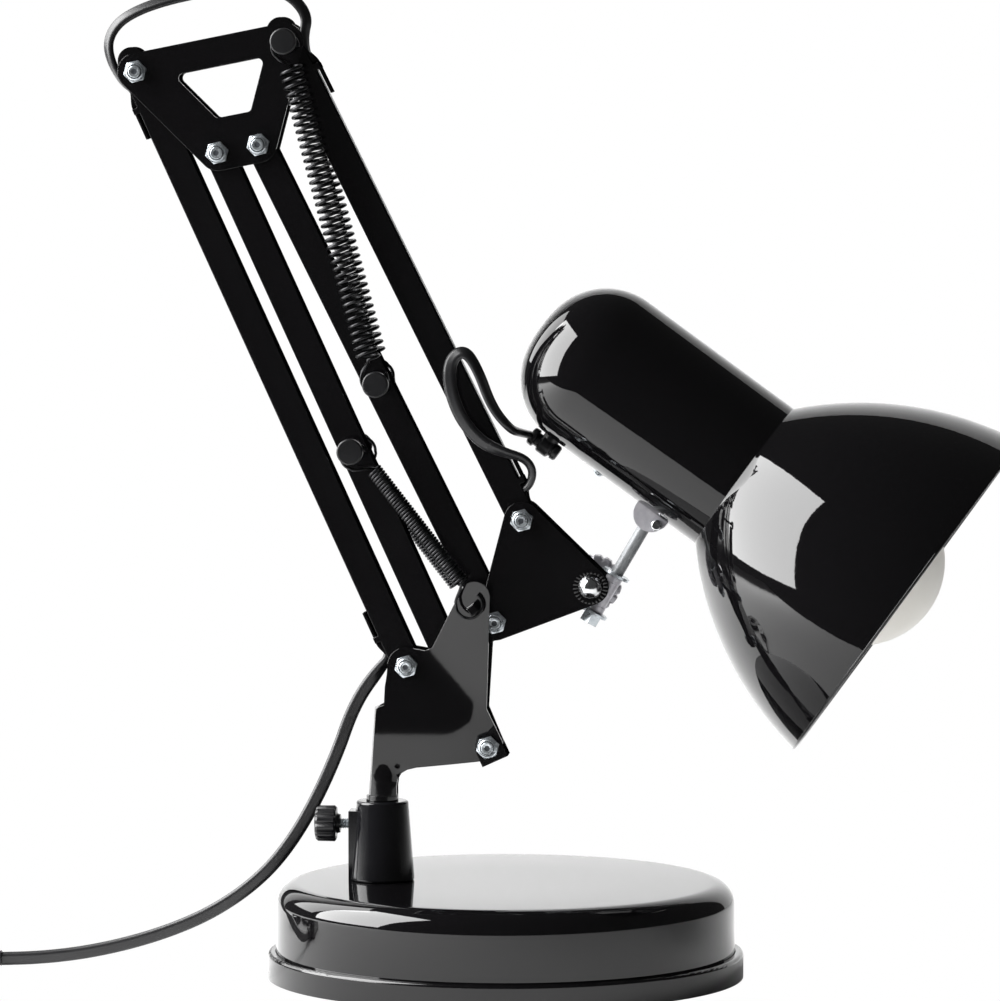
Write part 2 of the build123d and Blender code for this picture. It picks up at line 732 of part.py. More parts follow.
def spring(name, top, end, y, side, wire_r, coil_r, coil_l, aside):
    """An extension spring between two pegs. Its two eyes hang on the pegs, and its far twin is turned half round."""
    reach = hypot(end[0] - top[0], end[1] - top[1])
    along = Vector((end[0] - top[0]) / reach, 0, (end[1] - top[1]) / reach)
    across = Vector(-along.Z, 0, along.X) * side
    outward = Vector(0, -side, 0)
    origin = Vector(top[0], -side * y, top[1])
    eye_at = EYE_R - wire_r - PEG_R - EASE
    coil_from = (reach - coil_l) / 2
    rise = coil_l / HALF_TURNS

    def place(u, v, w):
        return origin + along * u + across * v + outward * w

    def way(u, v, w):
        return (along * u + across * v + outward * w).normalized()

    def eye(angle, turned):
        a = radians(angle)
        u = eye_at + EYE_R * cos(a)
        v = EYE_R * sin(a)
        du, dv = -sin(a), cos(a)
        if turned:
            return place(reach - u, v, 0), way(du, -dv, 0)
        return place(u, v, 0), way(du, dv, 0)

    middle = (EYE_FROM + EYE_TO) / 2
    quarter = (EYE_TO - EYE_FROM) / 4
    angles = [EYE_FROM, middle - quarter, middle, middle + quarter, EYE_TO]
    stations = [eye(angle, False) for angle in angles]
    for half in range(HALF_TURNS + 1):
        sign = -1 if half % 2 == 0 else 1
        slope = rise / (pi * coil_r)
        stations.append((place(coil_from + rise * half, aside, sign * coil_r), way(slope, -sign, 0)))
    stations += [eye(angle, True) for angle in reversed(angles)]
    first, first_way = stations[0]
    last, last_way = stations[-1]
    edges = [Edge.make_line(first - first_way * 2 * wire_r, first)]
    edges += arc_pairs(stations)
    edges.append(Edge.make_line(last, last + last_way * 2 * wire_r))
    wound_tube(name, edges, wire_r, 2400)


for side, word in ((1, "near"), (-1, "far")):
    spring(
        f"lower_spring_{word}",
        LOWER_PEG,
        TAB,
        LOWER_SPRING_Y,
        side,
        LOWER_WIRE_R,
        LOWER_COIL_R,
        LOWER_COIL_L,
        LOWER_COIL_ASIDE,
    )
    spring(
        f"upper_spring_{word}",
        P6,
        UPPER_PEG,
        UPPER_SPRING_Y,
        side,
        UPPER_WIRE_R,
        UPPER_COIL_R,
        UPPER_COIL_L,
        0,
    )

# Head bracket: two plates round three pivots, with a folded web along the edge towards the head
NOSE_ANGLE = degrees(atan2(P9[1] - P7[1], P9[0] - P7[0]))
WEB_PLANE = Plane(
    origin=(P7[0], 0, P7[1]),
    x_dir=(cos(radians(NOSE_ANGLE)), 0, sin(radians(NOSE_ANGLE))),
    z_dir=TO_VIEWER,
)

with BuildPart() as head_bracket:
    with BuildSketch(Plane.XZ.offset(PLATE_IN)):
        with Locations(P7, P8, P9):
            Circle(HEAD_LUG)
        make_hull()
    extrude(amount=SHEET)
    mirror(about=Plane.XZ)
    with BuildSketch(WEB_PLANE):
        with Locations(((WEB_FROM + WEB_TO) / 2, HEAD_LUG - SHEET / 2)):
            Rectangle(WEB_TO - WEB_FROM, SHEET)
    extrude(amount=PLATE_OUT, both=True)
    with BuildSketch(Plane.XZ):
        with Locations(P7, P8):
            Circle(BOLT_D / 2 + RUN)
        with Locations(P9):
            Circle(TILT_SCREW_R + RUN)
    extrude(amount=THROUGH, both=True, mode=Mode.SUBTRACT)
keep(head_bracket, "head_bracket")

# Tilt screw with a domed head on the near side, and its lobed knob on the far side
KNOB_FACE = PLATE_OUT + EASE

with BuildPart() as tilt_screw:
    with BuildSketch(Plane.XZ.offset(-KNOB_FACE - TILT_SCREW_IN_KNOB)):
        with Locations(P9):
            Circle(TILT_SCREW_R)
    extrude(amount=KNOB_FACE + TILT_SCREW_IN_KNOB + PLATE_OUT)
    with BuildSketch(Plane.XZ.offset(PLATE_OUT)):
        with Locations(P9):
            Circle(TILT_HEAD_R)
    extrude(amount=TILT_HEAD_H)
    fillet(tilt_screw.edges().filter_by(GeomType.CIRCLE).sort_by(Axis.Y)[0], 0.9 * TILT_HEAD_H)
keep(tilt_screw, "tilt_screw")

with BuildPart() as tilt_knob:
    with BuildSketch(Plane.XZ.offset(-KNOB_FACE)):
        with Locations(P9):
            Circle(TILT_KNOB_R)
            with PolarLocations(TILT_KNOB_R, TILT_LOBES):
                Circle(TILT_LOBE_R)
    extrude(amount=-TILT_KNOB_T)
    with BuildSketch(Plane.XZ.offset(-KNOB_FACE)):
        with Locations(P9):
            Circle(TILT_SCREW_R + RUN)
    extrude(amount=-TILT_SCREW_IN_KNOB - RUN, mode=Mode.SUBTRACT)
keep(tilt_knob, "tilt_knob")

# Knuckle: a turning boss on the tilt screw, and a block beside it that holds the head's rod
ROD_FOOT = step(P9, ROD_ASIDE, ROD_ANGLE - 90)
ROD_DIR = Vector(cos(radians(ROD_ANGLE)), 0, sin(radians(ROD_ANGLE)))
ROD_PLANE = Plane(origin=(ROD_FOOT[0], 0, ROD_FOOT[1]), x_dir=(0, 1, 0), z_dir=ROD_DIR)
LUG_POINT = step(ROD_FOOT, ROD_TO_LUG, ROD_ANGLE)

with BuildPart() as knuckle:
    with BuildSketch(Plane.XZ):
        with Locations(P9):
            Circle(KNUCKLE_R)
    extrude(amount=BAR_D / 2, both=True)
    with BuildSketch(ROD_PLANE):
        Circle(ROD_BLOCK_R)
    extrude(amount=ROD_BLOCK_HALF, both=True)
    with BuildSketch(ROD_PLANE):
        Circle(ROD_THIN_R + RUN)
    extrude(amount=2 * ROD_BLOCK_HALF, both=True, mode=Mode.SUBTRACT)
    with BuildSketch(Plane.XZ):
        with Locations(P9):
            Circle(TILT_SCREW_R + RUN)
    extrude(amount=THROUGH, both=True, mode=Mode.SUBTRACT)
keep(knuckle, "knuckle")

WASHER_GAP = THUMB_TIP_GAP
WASHER_AT = ROD_BLOCK_HALF + WASHER_GAP
ROD_TOP = ROD_TO_LUG - ROD_END_SHORT

with BuildPart() as head_rod:
    with BuildSketch(ROD_PLANE.offset(-WASHER_AT - ROD_WASHER_T - ROD_NUT_H)):
        Circle(ROD_THIN_R)
    extrude(amount=2 * WASHER_AT + 2 * ROD_WASHER_T + ROD_NUT_H)
    with BuildSketch(ROD_PLANE.offset(WASHER_AT + ROD_WASHER_T)):
        Circle(ROD_R)
    extrude(amount=ROD_TOP - WASHER_AT - ROD_WASHER_T)
keep(head_rod, "head_rod")

with BuildPart() as rod_washers:
    for low in (-WASHER_AT - ROD_WASHER_T, WASHER_AT):
        with BuildSketch(ROD_PLANE.offset(low)):
            Circle(ROD_WASHER_R)
            Circle(ROD_THIN_R + SLIP, mode=Mode.SUBTRACT)
        extrude(amount=ROD_WASHER_T)
keep(rod_washers, "rod_washers")

with BuildPart() as rod_nut:
    with BuildSketch(ROD_PLANE.offset(-WASHER_AT - ROD_WASHER_T)):
        RegularPolygon(ROD_NUT_FLATS / 2, 6, major_radius=False)
        Circle(ROD_THIN_R + SLIP, mode=Mode.SUBTRACT)
    extrude(amount=-ROD_NUT_H)
keep(rod_nut, "rod_nut")

# Head: its axis leaves the lug's place and points down to the right, turned a little about the rod
ROD_AXIS = Axis((LUG_POINT[0], 0, LUG_POINT[1]), ROD_DIR)
CREASE = beside(LUG_POINT, HEAD_ANGLE, CREASE_BEYOND_LUG, LUG_OUT)


def turned(vector):
    return vector.rotate(Axis((0, 0, 0), ROD_DIR), HEAD_TURN)


LUG_CENTRE = Vector(LUG_POINT[0], 0, LUG_POINT[1])
HEAD_DIR = turned(Vector(cos(radians(HEAD_ANGLE)), 0, sin(radians(HEAD_ANGLE))))
HEAD_SIDE = turned(Vector(0, 1, 0))
HEAD_ORIGIN = LUG_CENTRE + turned(Vector(CREASE[0], 0, CREASE[1]) - LUG_CENTRE)
HEAD_AXIS = Axis(HEAD_ORIGIN, HEAD_DIR)
SPIN_PLANE = Plane(origin=HEAD_ORIGIN, x_dir=HEAD_DIR, z_dir=HEAD_SIDE)


def shade_outline(inset, overrun):
    """The region inside the shade's skin, from its closed end to its rim."""
    FilletPolyline(
        (-NECK_L + inset, 0),
        (-NECK_L + inset, NECK_R - inset),
        (0, CREASE_R - inset),
        radius=NECK_ROUND - inset,
    )
    ThreePointArc((0, CREASE_R - inset), (BELL_MID_L, BELL_MID_R - inset), (BELL_L, BELL_R - inset))
    Polyline((BELL_L, BELL_R - inset), (BELL_L + overrun, BELL_R - inset), (BELL_L + overrun, 0), (-NECK_L + inset, 0))


with BuildPart() as shade:
    with BuildSketch(SPIN_PLANE):
        with BuildLine():
            shade_outline(0, SHADE_WALL)
        make_face()
        with Locations((BELL_L, BELL_R)):
            Circle(RIM_BEAD_R)
        with BuildLine():
            shade_outline(SHADE_WALL, 2 * SHADE_WALL)
        make_face(mode=Mode.SUBTRACT)
    revolve(axis=HEAD_AXIS)
keep(shade, "shade")


# What sits on the neck is cut to the neck's own slope
NECK_SKIN = ((-NECK_L, 0), (-NECK_L, NECK_R), (0, CREASE_R), (0, 0))
LUG_PLANE = Plane(origin=LUG_CENTRE, x_dir=HEAD_DIR, z_dir=HEAD_SIDE)

with BuildPart() as head_lug:
    with BuildSketch(LUG_PLANE):
        Circle(LUG_R)
        with Locations((0, -LUG_R / 2)):
            Rectangle(2 * LUG_R, LUG_R)
    extrude(amount=LUG_T / 2, both=True)
    with BuildSketch(SPIN_PLANE):
        Polygon(*NECK_SKIN, align=None)
    revolve(axis=HEAD_AXIS, mode=Mode.SUBTRACT)
    with BuildSketch(ROD_PLANE):
        Circle(ROD_R + SLIP)
    extrude(amount=ROD_TOP + SLIP, mode=Mode.SUBTRACT)
    with BuildSketch(LUG_PLANE):
        with Locations((LUG_SCREW_ALONG, LUG_SCREW_OUT)):
            Circle(LUG_SCREW_R + SLIP)
    extrude(amount=LUG_T, both=True, mode=Mode.SUBTRACT)
keep(head_lug, "head_lug")

with BuildPart() as lug_screw:
    with BuildSketch(LUG_PLANE.offset(LUG_T / 2)):
        with Locations((LUG_SCREW_ALONG, LUG_SCREW_OUT)):
            Circle(LUG_SCREW_R)
    extrude(amount=-LUG_T)
    with BuildSketch(LUG_PLANE.offset(-LUG_T / 2)):
        with Locations((LUG_SCREW_ALONG, LUG_SCREW_OUT)):
            Circle(LUG_SCREW_HEAD_R)
    extrude(amount=-LUG_SCREW_HEAD_H)
    fillet(lug_screw.edges().filter_by(GeomType.CIRCLE).sort_by(Axis.Y)[0], LUG_SCREW_HEAD_H / 2)
keep(lug_screw, "lug_screw")

with BuildPart() as cord_gland:
    with BuildSketch(SPIN_PLANE):
        with Locations((GLAND_FROM + GLAND_L / 2, GLAND_OUT)):
            Rectangle(GLAND_L, 2 * GLAND_R)
    extrude(amount=GLAND_R, both=True)
    fillet(cord_gland.edges().filter_by(Axis(HEAD_ORIGIN, HEAD_DIR)), 0.6 * GLAND_R)
    with BuildSketch(SPIN_PLANE):
        with Locations((GLAND_FROM + GLAND_L / 2, (GLAND_OUT + NECK_R) / 2)):
            Rectangle(2 * GLAND_BOSS_R, GLAND_OUT - NECK_R + 2)
    extrude(amount=GLAND_BOSS_R, both=True)
    with BuildSketch(SPIN_PLANE):
        Polygon(*NECK_SKIN, align=None)
    revolve(axis=HEAD_AXIS, mode=Mode.SUBTRACT)
keep(cord_gland, "cord_gland")

# Lampholder and bulb on the head's axis
with BuildPart() as lampholder:
    with BuildSketch(SPIN_PLANE):
        with BuildLine():
            Polyline(
                (-NECK_L + SHADE_WALL, 0),
                (-NECK_L + SHADE_WALL, NECK_R - NECK_ROUND - SHADE_WALL),
                (-NECK_L + NECK_ROUND, HOLDER_R),
                (HOLDER_MOUTH, HOLDER_R),
                (HOLDER_MOUTH, CAP_SHELL_R + RUN),
                (HOLDER_BORE_FLOOR, CAP_SHELL_R + RUN),
                (HOLDER_BORE_FLOOR, 0),
                close=True,
            )
        make_face()
    revolve(axis=HEAD_AXIS)
keep(lampholder, "lampholder")

with BuildPart() as holder_contact:
    with BuildSketch(Plane(origin=HEAD_ORIGIN + HEAD_DIR * HOLDER_BORE_FLOOR, x_dir=HEAD_SIDE, z_dir=HEAD_DIR)):
        Rectangle(CONTACT_SIDE, CONTACT_SIDE)
    extrude(amount=CONTACT_T)
keep(holder_contact, "holder_contact")

with BuildPart() as bulb_cap:
    with BuildSketch(SPIN_PLANE):
        with BuildLine():
            Polyline(
                (BULB_CAP_FROM, 0),
                (BULB_CAP_FROM, CAP_SHELL_R / 2),
                (BULB_CAP_FROM + CAP_SHELL_R / 2, CAP_SHELL_R),
                (BULB_CAP_TO, CAP_SHELL_R),
                (BULB_CAP_TO, 0),
                close=True,
            )
        make_face()
    revolve(axis=HEAD_AXIS)
keep(bulb_cap, "bulb_cap")

BULB_MEETS = BULB_CENTRE - 0.8 * BULB_R
BULB_MEETS_R = 0.6 * BULB_R
with BuildPart() as bulb_glass:
    with BuildSketch(SPIN_PLANE):
        with BuildLine():
            Polyline((BULB_CAP_TO, 0), (BULB_CAP_TO, BULB_NECK_R), (BULB_CAP_TO + BULB_NECK_R / 2, BULB_NECK_R))
            Line((BULB_CAP_TO + BULB_NECK_R / 2, BULB_NECK_R), (BULB_MEETS, BULB_MEETS_R))
            ThreePointArc((BULB_MEETS, BULB_MEETS_R), (BULB_CENTRE, BULB_R), (BULB_CENTRE + BULB_R, 0))
            Line((BULB_CENTRE + BULB_R, 0), (BULB_CAP_TO, 0))
        make_face()
    revolve(axis=HEAD_AXIS)
keep(bulb_glass, "bulb_glass")


# Free flex: straight runs joined by tangent arcs, each as large as its runs allow
def cord_tube(name, route):
    points = [Vector(*point) for point in route]
    radii = []
    for before, here, after in zip(points, points[1:], points[2:]):
        turn = radians((here - before).get_angle(after - here))
        run = min((here - before).length, (after - here).length)
        radii.append(0.45 * run / tan(turn / 2))
    with BuildPart() as made:
        with BuildLine() as line:
            FilletPolyline(*points, radius=radii)
        path = line.wires()[0]
        with BuildSketch(Plane(origin=path @ 0, z_dir=path % 0)):
            Circle(CORD_D / 2)
        sweep(path=path)
    section = pi * CORD_D**2 / 4 * path.length
    print(f"{name}: length {path.length:.1f} volume/section {made.part.volume / section:.4f}")
    print("  radii", " ".join(f"{r:.0f}" for r in radii))
    keep(made, name)


# The lead leaves the lower arm beside its pivot and comes down over the base to the switch
FLEX_RUN = 5.5
LOOP_RUN = 7.5


def in_bar(plane, along):
    """A place beside a bar's line, on its open side."""
    return tuple(plane.from_local_coords(Vector(along, FLEX_AT, 0)))


def beside_pivot(pivot, across, aside, above):
    """A place of a free loop, counted from a pivot so that the loop goes with the arm's length."""
    return (pivot[0] + across, aside, pivot[1] + above)


MAINS_ROUTE = (
    in_bar(LOWER_REAR, EXIT_SET),
    in_bar(LOWER_REAR, EXIT_SET - FLEX_RUN),
    (-50.2, 0, 121.6),
    (-55.6, 0, 113.4),
    (-61.0, 0, 103.0),
    (-67.2, 0, 90.2),
    (-75.4, 0, 73.2),
    (-84.4, 0, 56.6),
    (-94.4, 0, 42.8),
    (-106.2, 0, 32.0),
    (-120.6, 0, 22.8),
    (-138.0, 0, 15.6),
    (-157.6, 0, 10.2),
    (-177.6, 0, 6.6),
    (-197.0, 0, SWITCH_CORD_Z),
    (SWITCH_X, 0, SWITCH_CORD_Z),
)
ELBOW_ROUTE = (
    in_bar(LOWER_REAR, LOWER_ARM + BAR_NOSE),
    in_bar(LOWER_REAR, LOWER_ARM + BAR_NOSE + LOOP_RUN),
    beside_pivot(P6, -71.0, 0, 5.9),
    beside_pivot(P6, -64.2, 0, 13.1),
    beside_pivot(P6, -53.0, 0, 17.1),
    beside_pivot(P6, -38.6, 0, 19.5),
    beside_pivot(P6, -22.6, 0, 20.7),
    beside_pivot(P6, -8.6, 0, 19.9),
    beside_pivot(P6, 1.8, 0, 16.5),
    beside_pivot(P6, 8.4, 0, 9.7),
    in_bar(UPPER_REAR, UPPER_ARM - ENTRY_SET + LOOP_RUN),
    in_bar(UPPER_REAR, UPPER_ARM - ENTRY_SET),
)
# The loop to the head rounds the bar's lower end, rises past the bar's near side and falls to the gland
HEAD_ROUTE = (
    in_bar(UPPER_REAR, EXIT_SET),
    in_bar(UPPER_REAR, EXIT_SET - FLEX_RUN),
    beside_pivot(P7, 6.4, -1.8, 4.8),
    beside_pivot(P7, 12.0, -3.2, 9.0),
    beside_pivot(P7, 11.6, -4.8, 16.8),
    beside_pivot(P7, 5.8, -6.4, 23.2),
    beside_pivot(P7, -3.6, -8.0, 28.4),
    beside_pivot(P7, -13.0, -9.2, 33.4),
    beside_pivot(P7, -21.6, -9.8, 41.0),
    beside_pivot(P7, -28.0, -10.0, 51.0),
    beside_pivot(P7, -29.8, -10.0, 61.2),
    beside_pivot(P7, -23.4, -9.8, 68.4),
    beside_pivot(P7, -16.0, -9.0, 63.6),
    beside_pivot(P7, -11.4, -7.0, 53.2),
    tuple(SPIN_PLANE.from_local_coords(Vector(GLAND_FROM - LOOP_RUN, GLAND_OUT, 0))),
    tuple(SPIN_PLANE.from_local_coords(Vector(GLAND_FROM, GLAND_OUT, 0))),
)
cord_tube("mains_cord", MAINS_ROUTE)
cord_tube("elbow_cord", ELBOW_ROUTE)
cord_tube("head_cord", HEAD_ROUTE)

# Switch on the lead: a rounded case with a rocker in its top
ROCKER_PIVOT_Z = SWITCH_H - ROCKER_DEEP + ROCKER_PROUD
with BuildPart() as inline_switch:
    with Locations((SWITCH_X - SWITCH_L / 2, 0, 0)):
        Box(SWITCH_L, SWITCH_W, SWITCH_H, align=(Align.CENTER, Align.CENTER, Align.MIN))
    fillet(inline_switch.edges().filter_by(Axis.Z), SWITCH_ROUND)
    with BuildSketch(Plane.XY.offset(SWITCH_H)):
        with Locations((SWITCH_X - SWITCH_L / 2, 0)):
            Rectangle(ROCKER_L + 2 * EASE, ROCKER_W + 2 * EASE)
    extrude(amount=-ROCKER_DEEP - 2 * ROCKER_PROUD, mode=Mode.SUBTRACT)
    with BuildSketch(Plane.XZ):
        with Locations((SWITCH_X - SWITCH_L / 2, ROCKER_PIVOT_Z)):
            Circle(TRUNNION_R + RUN)
    extrude(amount=ROCKER_W / 2 + TRUNNION_L + RUN, both=True, mode=Mode.SUBTRACT)
keep(inline_switch, "inline_switch")

with BuildPart() as switch_rocker:
    with BuildSketch(Plane.XZ):
        with Locations((SWITCH_X - SWITCH_L / 2, SWITCH_H + ROCKER_PROUD)):
            Rectangle(ROCKER_L - 4 * EASE, ROCKER_DEEP, align=(Align.CENTER, Align.MAX))
    extrude(amount=ROCKER_W / 2, both=True)
    fillet(switch_rocker.edges().filter_by(Axis.Y), ROCKER_PROUD)
    with BuildSketch(Plane.XZ):
        with Locations((SWITCH_X - SWITCH_L / 2, ROCKER_PIVOT_Z)):
            Circle(TRUNNION_R)
    extrude(amount=ROCKER_W / 2 + TRUNNION_L, both=True)
keep(switch_rocker, "switch_rocker")


# Coil: the lead spirals in, climbs a layer in the half turn where it reverses, and spirals out
COIL_PITCH = CORD_D + COIL_GAP
COIL_LOW = CORD_D / 2 + COIL_LIFT


def coil_station(half):
    inward = COIL_HALF_TURNS_IN + 1
    steps = half if half <= inward else 2 * inward - half
    radius = COIL_R - steps * COIL_PITCH / 2 + (COIL_STEP_OUT if half > inward else 0)
    height = COIL_LOW if half <= COIL_HALF_TURNS_IN else COIL_LOW + COIL_PITCH
    sign = -1 if half % 2 == 0 else 1
    return Vector(COIL_X, COIL_Y + sign * radius, height), Vector(sign, 0, 0)


LAST_HALF = 2 * COIL_HALF_TURNS_IN + 1
COIL_END = coil_station(LAST_HALF)[0]
coil_stations = [
    (Vector(SWITCH_X - SWITCH_L - CORD_D, 0, SWITCH_CORD_Z), Vector(-1, 0, 0)),
    (Vector((SWITCH_X - SWITCH_L + COIL_X) / 2, 0, (SWITCH_CORD_Z + COIL_LOW) / 2), Vector(-1, 0, -0.05).normalized()),
]
coil_stations += [coil_station(half) for half in range(LAST_HALF + 1)]
coil_edges = [Edge.make_line(coil_stations[0][0] + Vector(CORD_D, 0, 0), coil_stations[0][0])]
coil_edges += arc_pairs(coil_stations)
coil_edges.append(Edge.make_line(COIL_END, Vector(PLUG_X, COIL_END.Y, COIL_END.Z)))
wound_tube("cord_coil", coil_edges, CORD_D / 2, 2400)

# Tie round the coil's turns, and the plug beside the coil
TIE_OUT = COIL_R + CORD_D / 2 + COIL_GAP + TIE_GAP
TIE_IN = COIL_R - (COIL_HALF_TURNS_IN + 1) * COIL_PITCH / 2 - CORD_D / 2 - TIE_GAP
TIE_TOP = COIL_LOW + COIL_PITCH + CORD_D / 2 + TIE_GAP
with BuildPart() as cord_tie:
    with BuildSketch(Plane.XZ.offset(-COIL_Y)):
        with Locations((COIL_X - (TIE_OUT + TIE_IN) / 2, (COIL_LIFT - TIE_GAP + TIE_TOP) / 2)):
            Rectangle(TIE_OUT - TIE_IN + 2 * TIE_T, TIE_TOP - COIL_LIFT + TIE_GAP + 2 * TIE_T)
            Rectangle(TIE_OUT - TIE_IN, TIE_TOP - COIL_LIFT + TIE_GAP, mode=Mode.SUBTRACT)
    extrude(amount=TIE_W / 2, both=True)
keep(cord_tie, "cord_tie")

PLUG_Z = COIL_END.Z
PLUG_H = 2 * PLUG_Z
with BuildPart() as plug_body:
    with Locations((PLUG_X, COIL_END.Y, PLUG_Z)):
        Box(PLUG_L, PLUG_W, PLUG_H, align=(Align.MIN, Align.CENTER, Align.CENTER))
    fillet(plug_body.edges().filter_by(Axis.Z), PLUG_ROUND)
keep(plug_body, "plug_body")

with BuildPart() as plug_pins:
    with BuildSketch(Plane(origin=(PLUG_X + PLUG_L, COIL_END.Y, PLUG_Z), x_dir=(0, 1, 0), z_dir=(1, 0, 0))):
        with GridLocations(PLUG_PIN_STEP, 0, 2, 1):
            Circle(PLUG_PIN_R)
    extrude(amount=PLUG_PIN_L)
keep(plug_pins, "plug_pins")

for word, point in (("P1", P1), ("P2", P2), ("P3", P3), ("P4", P4), ("P5", P5), ("P6", P6), ("P7", P7), ("P8", P8), ("P9", P9)):
    print(word, f"{point[0]:.3f} {point[1]:.3f}")
print("rod", ROD_FOOT, LUG_POINT, ROD_DIR)
print("head", HEAD_ORIGIN, HEAD_DIR)
print("tab", TAB_AT, "lower peg", LOWER_PEG, "upper peg", UPPER_PEG)
print("coil end", COIL_END, "rocker", SWITCH_X - SWITCH_L / 2, ROCKER_PIVOT_Z)
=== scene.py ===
import bpy
import bmesh
import math
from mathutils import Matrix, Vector
from mathutils.geometry import delaunay_2d_cdt


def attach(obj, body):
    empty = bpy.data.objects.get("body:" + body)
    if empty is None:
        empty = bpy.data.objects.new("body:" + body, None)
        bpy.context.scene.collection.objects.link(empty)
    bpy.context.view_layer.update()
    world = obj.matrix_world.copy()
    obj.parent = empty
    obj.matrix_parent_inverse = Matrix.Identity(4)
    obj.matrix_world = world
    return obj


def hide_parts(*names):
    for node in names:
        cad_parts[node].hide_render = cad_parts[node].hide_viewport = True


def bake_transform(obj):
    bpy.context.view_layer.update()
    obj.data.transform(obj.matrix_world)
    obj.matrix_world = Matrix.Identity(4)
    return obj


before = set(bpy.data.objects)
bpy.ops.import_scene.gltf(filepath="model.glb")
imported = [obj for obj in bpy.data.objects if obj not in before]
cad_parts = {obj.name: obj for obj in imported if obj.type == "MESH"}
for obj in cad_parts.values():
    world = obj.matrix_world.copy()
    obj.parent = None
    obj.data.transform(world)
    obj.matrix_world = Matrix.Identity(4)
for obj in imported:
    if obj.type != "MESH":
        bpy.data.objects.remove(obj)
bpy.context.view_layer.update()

MM = 0.001
scene = bpy.context.scene
scene.view_settings.view_transform = "Standard"


def mm(*point):
    return Vector(point) * MM


def smooth(t):
    """Eases a share of 0 to 1."""
    return t * t * (3 - 2 * t)


# Camera
CAMERA_AT, CAMERA_DOWN, CAMERA_TURN, CAMERA_LENS = (204.0, -2592.0, 389.3), 4.393, 4.548, 237.7
camera = bpy.data.objects.new("camera", bpy.data.cameras.new("camera"))
scene.collection.objects.link(camera)
camera.location = mm(*CAMERA_AT)
camera.rotation_euler = (math.radians(90 - CAMERA_DOWN), 0, math.radians(CAMERA_TURN))
camera.data.sensor_fit = "HORIZONTAL"
camera.data.sensor_width = 36
camera.data.lens = CAMERA_LENS
camera.data.clip_start = 0.05
camera.data.clip_end = 50
scene.camera = camera


# Pivots, in millimetres in the arms' plane
def step(point, length, angle):
    a = math.radians(angle)
    return (point[0] + length * math.cos(a), point[1] + length * math.sin(a))


LOWER_L, LOWER_ANGLE = 257.6, 114.5
UPPER_L, UPPER_ANGLE, UPPER_BACK = 210.0, -63.6, 116.4
P1 = (-38.7, 124.2)
P2 = step(P1, 45.4, -44.6)
P3 = step(P1, LOWER_L, LOWER_ANGLE)
P4 = step(P2, LOWER_L, LOWER_ANGLE)
P5 = step(P4, 16.6, 11.2)
P6 = step(P5, 41.9, 75.4)
P7 = step(P6, UPPER_L, UPPER_ANGLE)
P8 = step(P5, UPPER_L, UPPER_ANGLE)
P9 = step(P8, 40.3, 20.8)
LOWER_PEG = step(P2, 129.0, LOWER_ANGLE)
UPPER_PEG = step(P5, 105.0, UPPER_ANGLE)
TAB = (-11.591, 147.716)
HEAD_ORIGIN = Vector((94.3572, -1.0361, 199.904))
HEAD_DIR = Vector((0.809735, -0.043415, -0.585187)).normalized()
HEAD_SIDE = Vector((0.037661, 0.999048, -0.022007)).normalized()
HEAD_DOWN = HEAD_SIDE.cross(HEAD_DIR)
ROD_DIR = Vector((0.504528, 0, 0.863396))
ROD_FOOT = Vector((39.485, 0, 153.036))
VIEWER = Vector((0, -1, 0))


# Materials
def material(name, colour, rough, metal=0.0, coat=0.0, coat_rough=0.05, ior=1.5):
    m = bpy.data.materials.new(name)
    m.use_nodes = True
    shader = m.node_tree.nodes["Principled BSDF"]
    shader.inputs["Base Color"].default_value = (*colour, 1)
    shader.inputs["Roughness"].default_value = rough
    shader.inputs["Metallic"].default_value = metal
    shader.inputs["Coat Weight"].default_value = coat
    shader.inputs["Coat Roughness"].default_value = coat_rough
    shader.inputs["IOR"].default_value = ior
    return m, m.node_tree, shader


def noise(tree, scale, detail=4.0, rough=0.5, stretch=(1, 1, 1)):
    coords = tree.nodes.new("ShaderNodeTexCoord")
    mapping = tree.nodes.new("ShaderNodeMapping")
    mapping.inputs["Scale"].default_value = stretch
    texture = tree.nodes.new("ShaderNodeTexNoise")
    texture.inputs["Scale"].default_value = scale
    texture.inputs["Detail"].default_value = detail
    texture.inputs["Roughness"].default_value = rough
    tree.links.new(coords.outputs["Object"], mapping.inputs["Vector"])
    tree.links.new(mapping.outputs["Vector"], texture.inputs["Vector"])
    return texture.outputs["Fac"]


def ramp(tree, fac, low, high, start=0.3, end=0.7):
    node = tree.nodes.new("ShaderNodeMapRange")
    node.inputs["From Min"].default_value = start
    node.inputs["From Max"].default_value = end
    node.inputs["To Min"].default_value = low
    node.inputs["To Max"].default_value = high
    tree.links.new(fac, node.inputs["Value"])
    return node.outputs["Result"]


def tint(tree, fac, dark, light, start=0.3, end=0.7):
    node = tree.nodes.new("ShaderNodeValToRGB")
    node.color_ramp.elements[0].position = start
    node.color_ramp.elements[0].color = (*dark, 1)
    node.color_ramp.elements[1].position = end
    node.color_ramp.elements[1].color = (*light, 1)
    tree.links.new(fac, node.inputs["Fac"])
    return node.outputs["Color"]


def bump(tree, shader, height, strength, distance, normal=None):
    node = tree.nodes.new("ShaderNodeBump")
    node.inputs["Strength"].default_value = strength
    node.inputs["Distance"].default_value = distance
    tree.links.new(height, node.inputs["Height"])
    if normal is not None:
        tree.links.new(normal, node.inputs["Normal"])
    tree.links.new(node.outputs["Normal"], shader.inputs["Normal"])
    return node


def soft_edges(tree, shader, radius, height=None, strength=0.0, distance=0.0):
    bevel = tree.nodes.new("ShaderNodeBevel")
    bevel.samples = 4
    bevel.inputs["Radius"].default_value = radius
    if height is None:
        tree.links.new(bevel.outputs["Normal"], shader.inputs["Normal"])
    else:
        bump(tree, shader, height, strength, distance, bevel.outputs["Normal"])


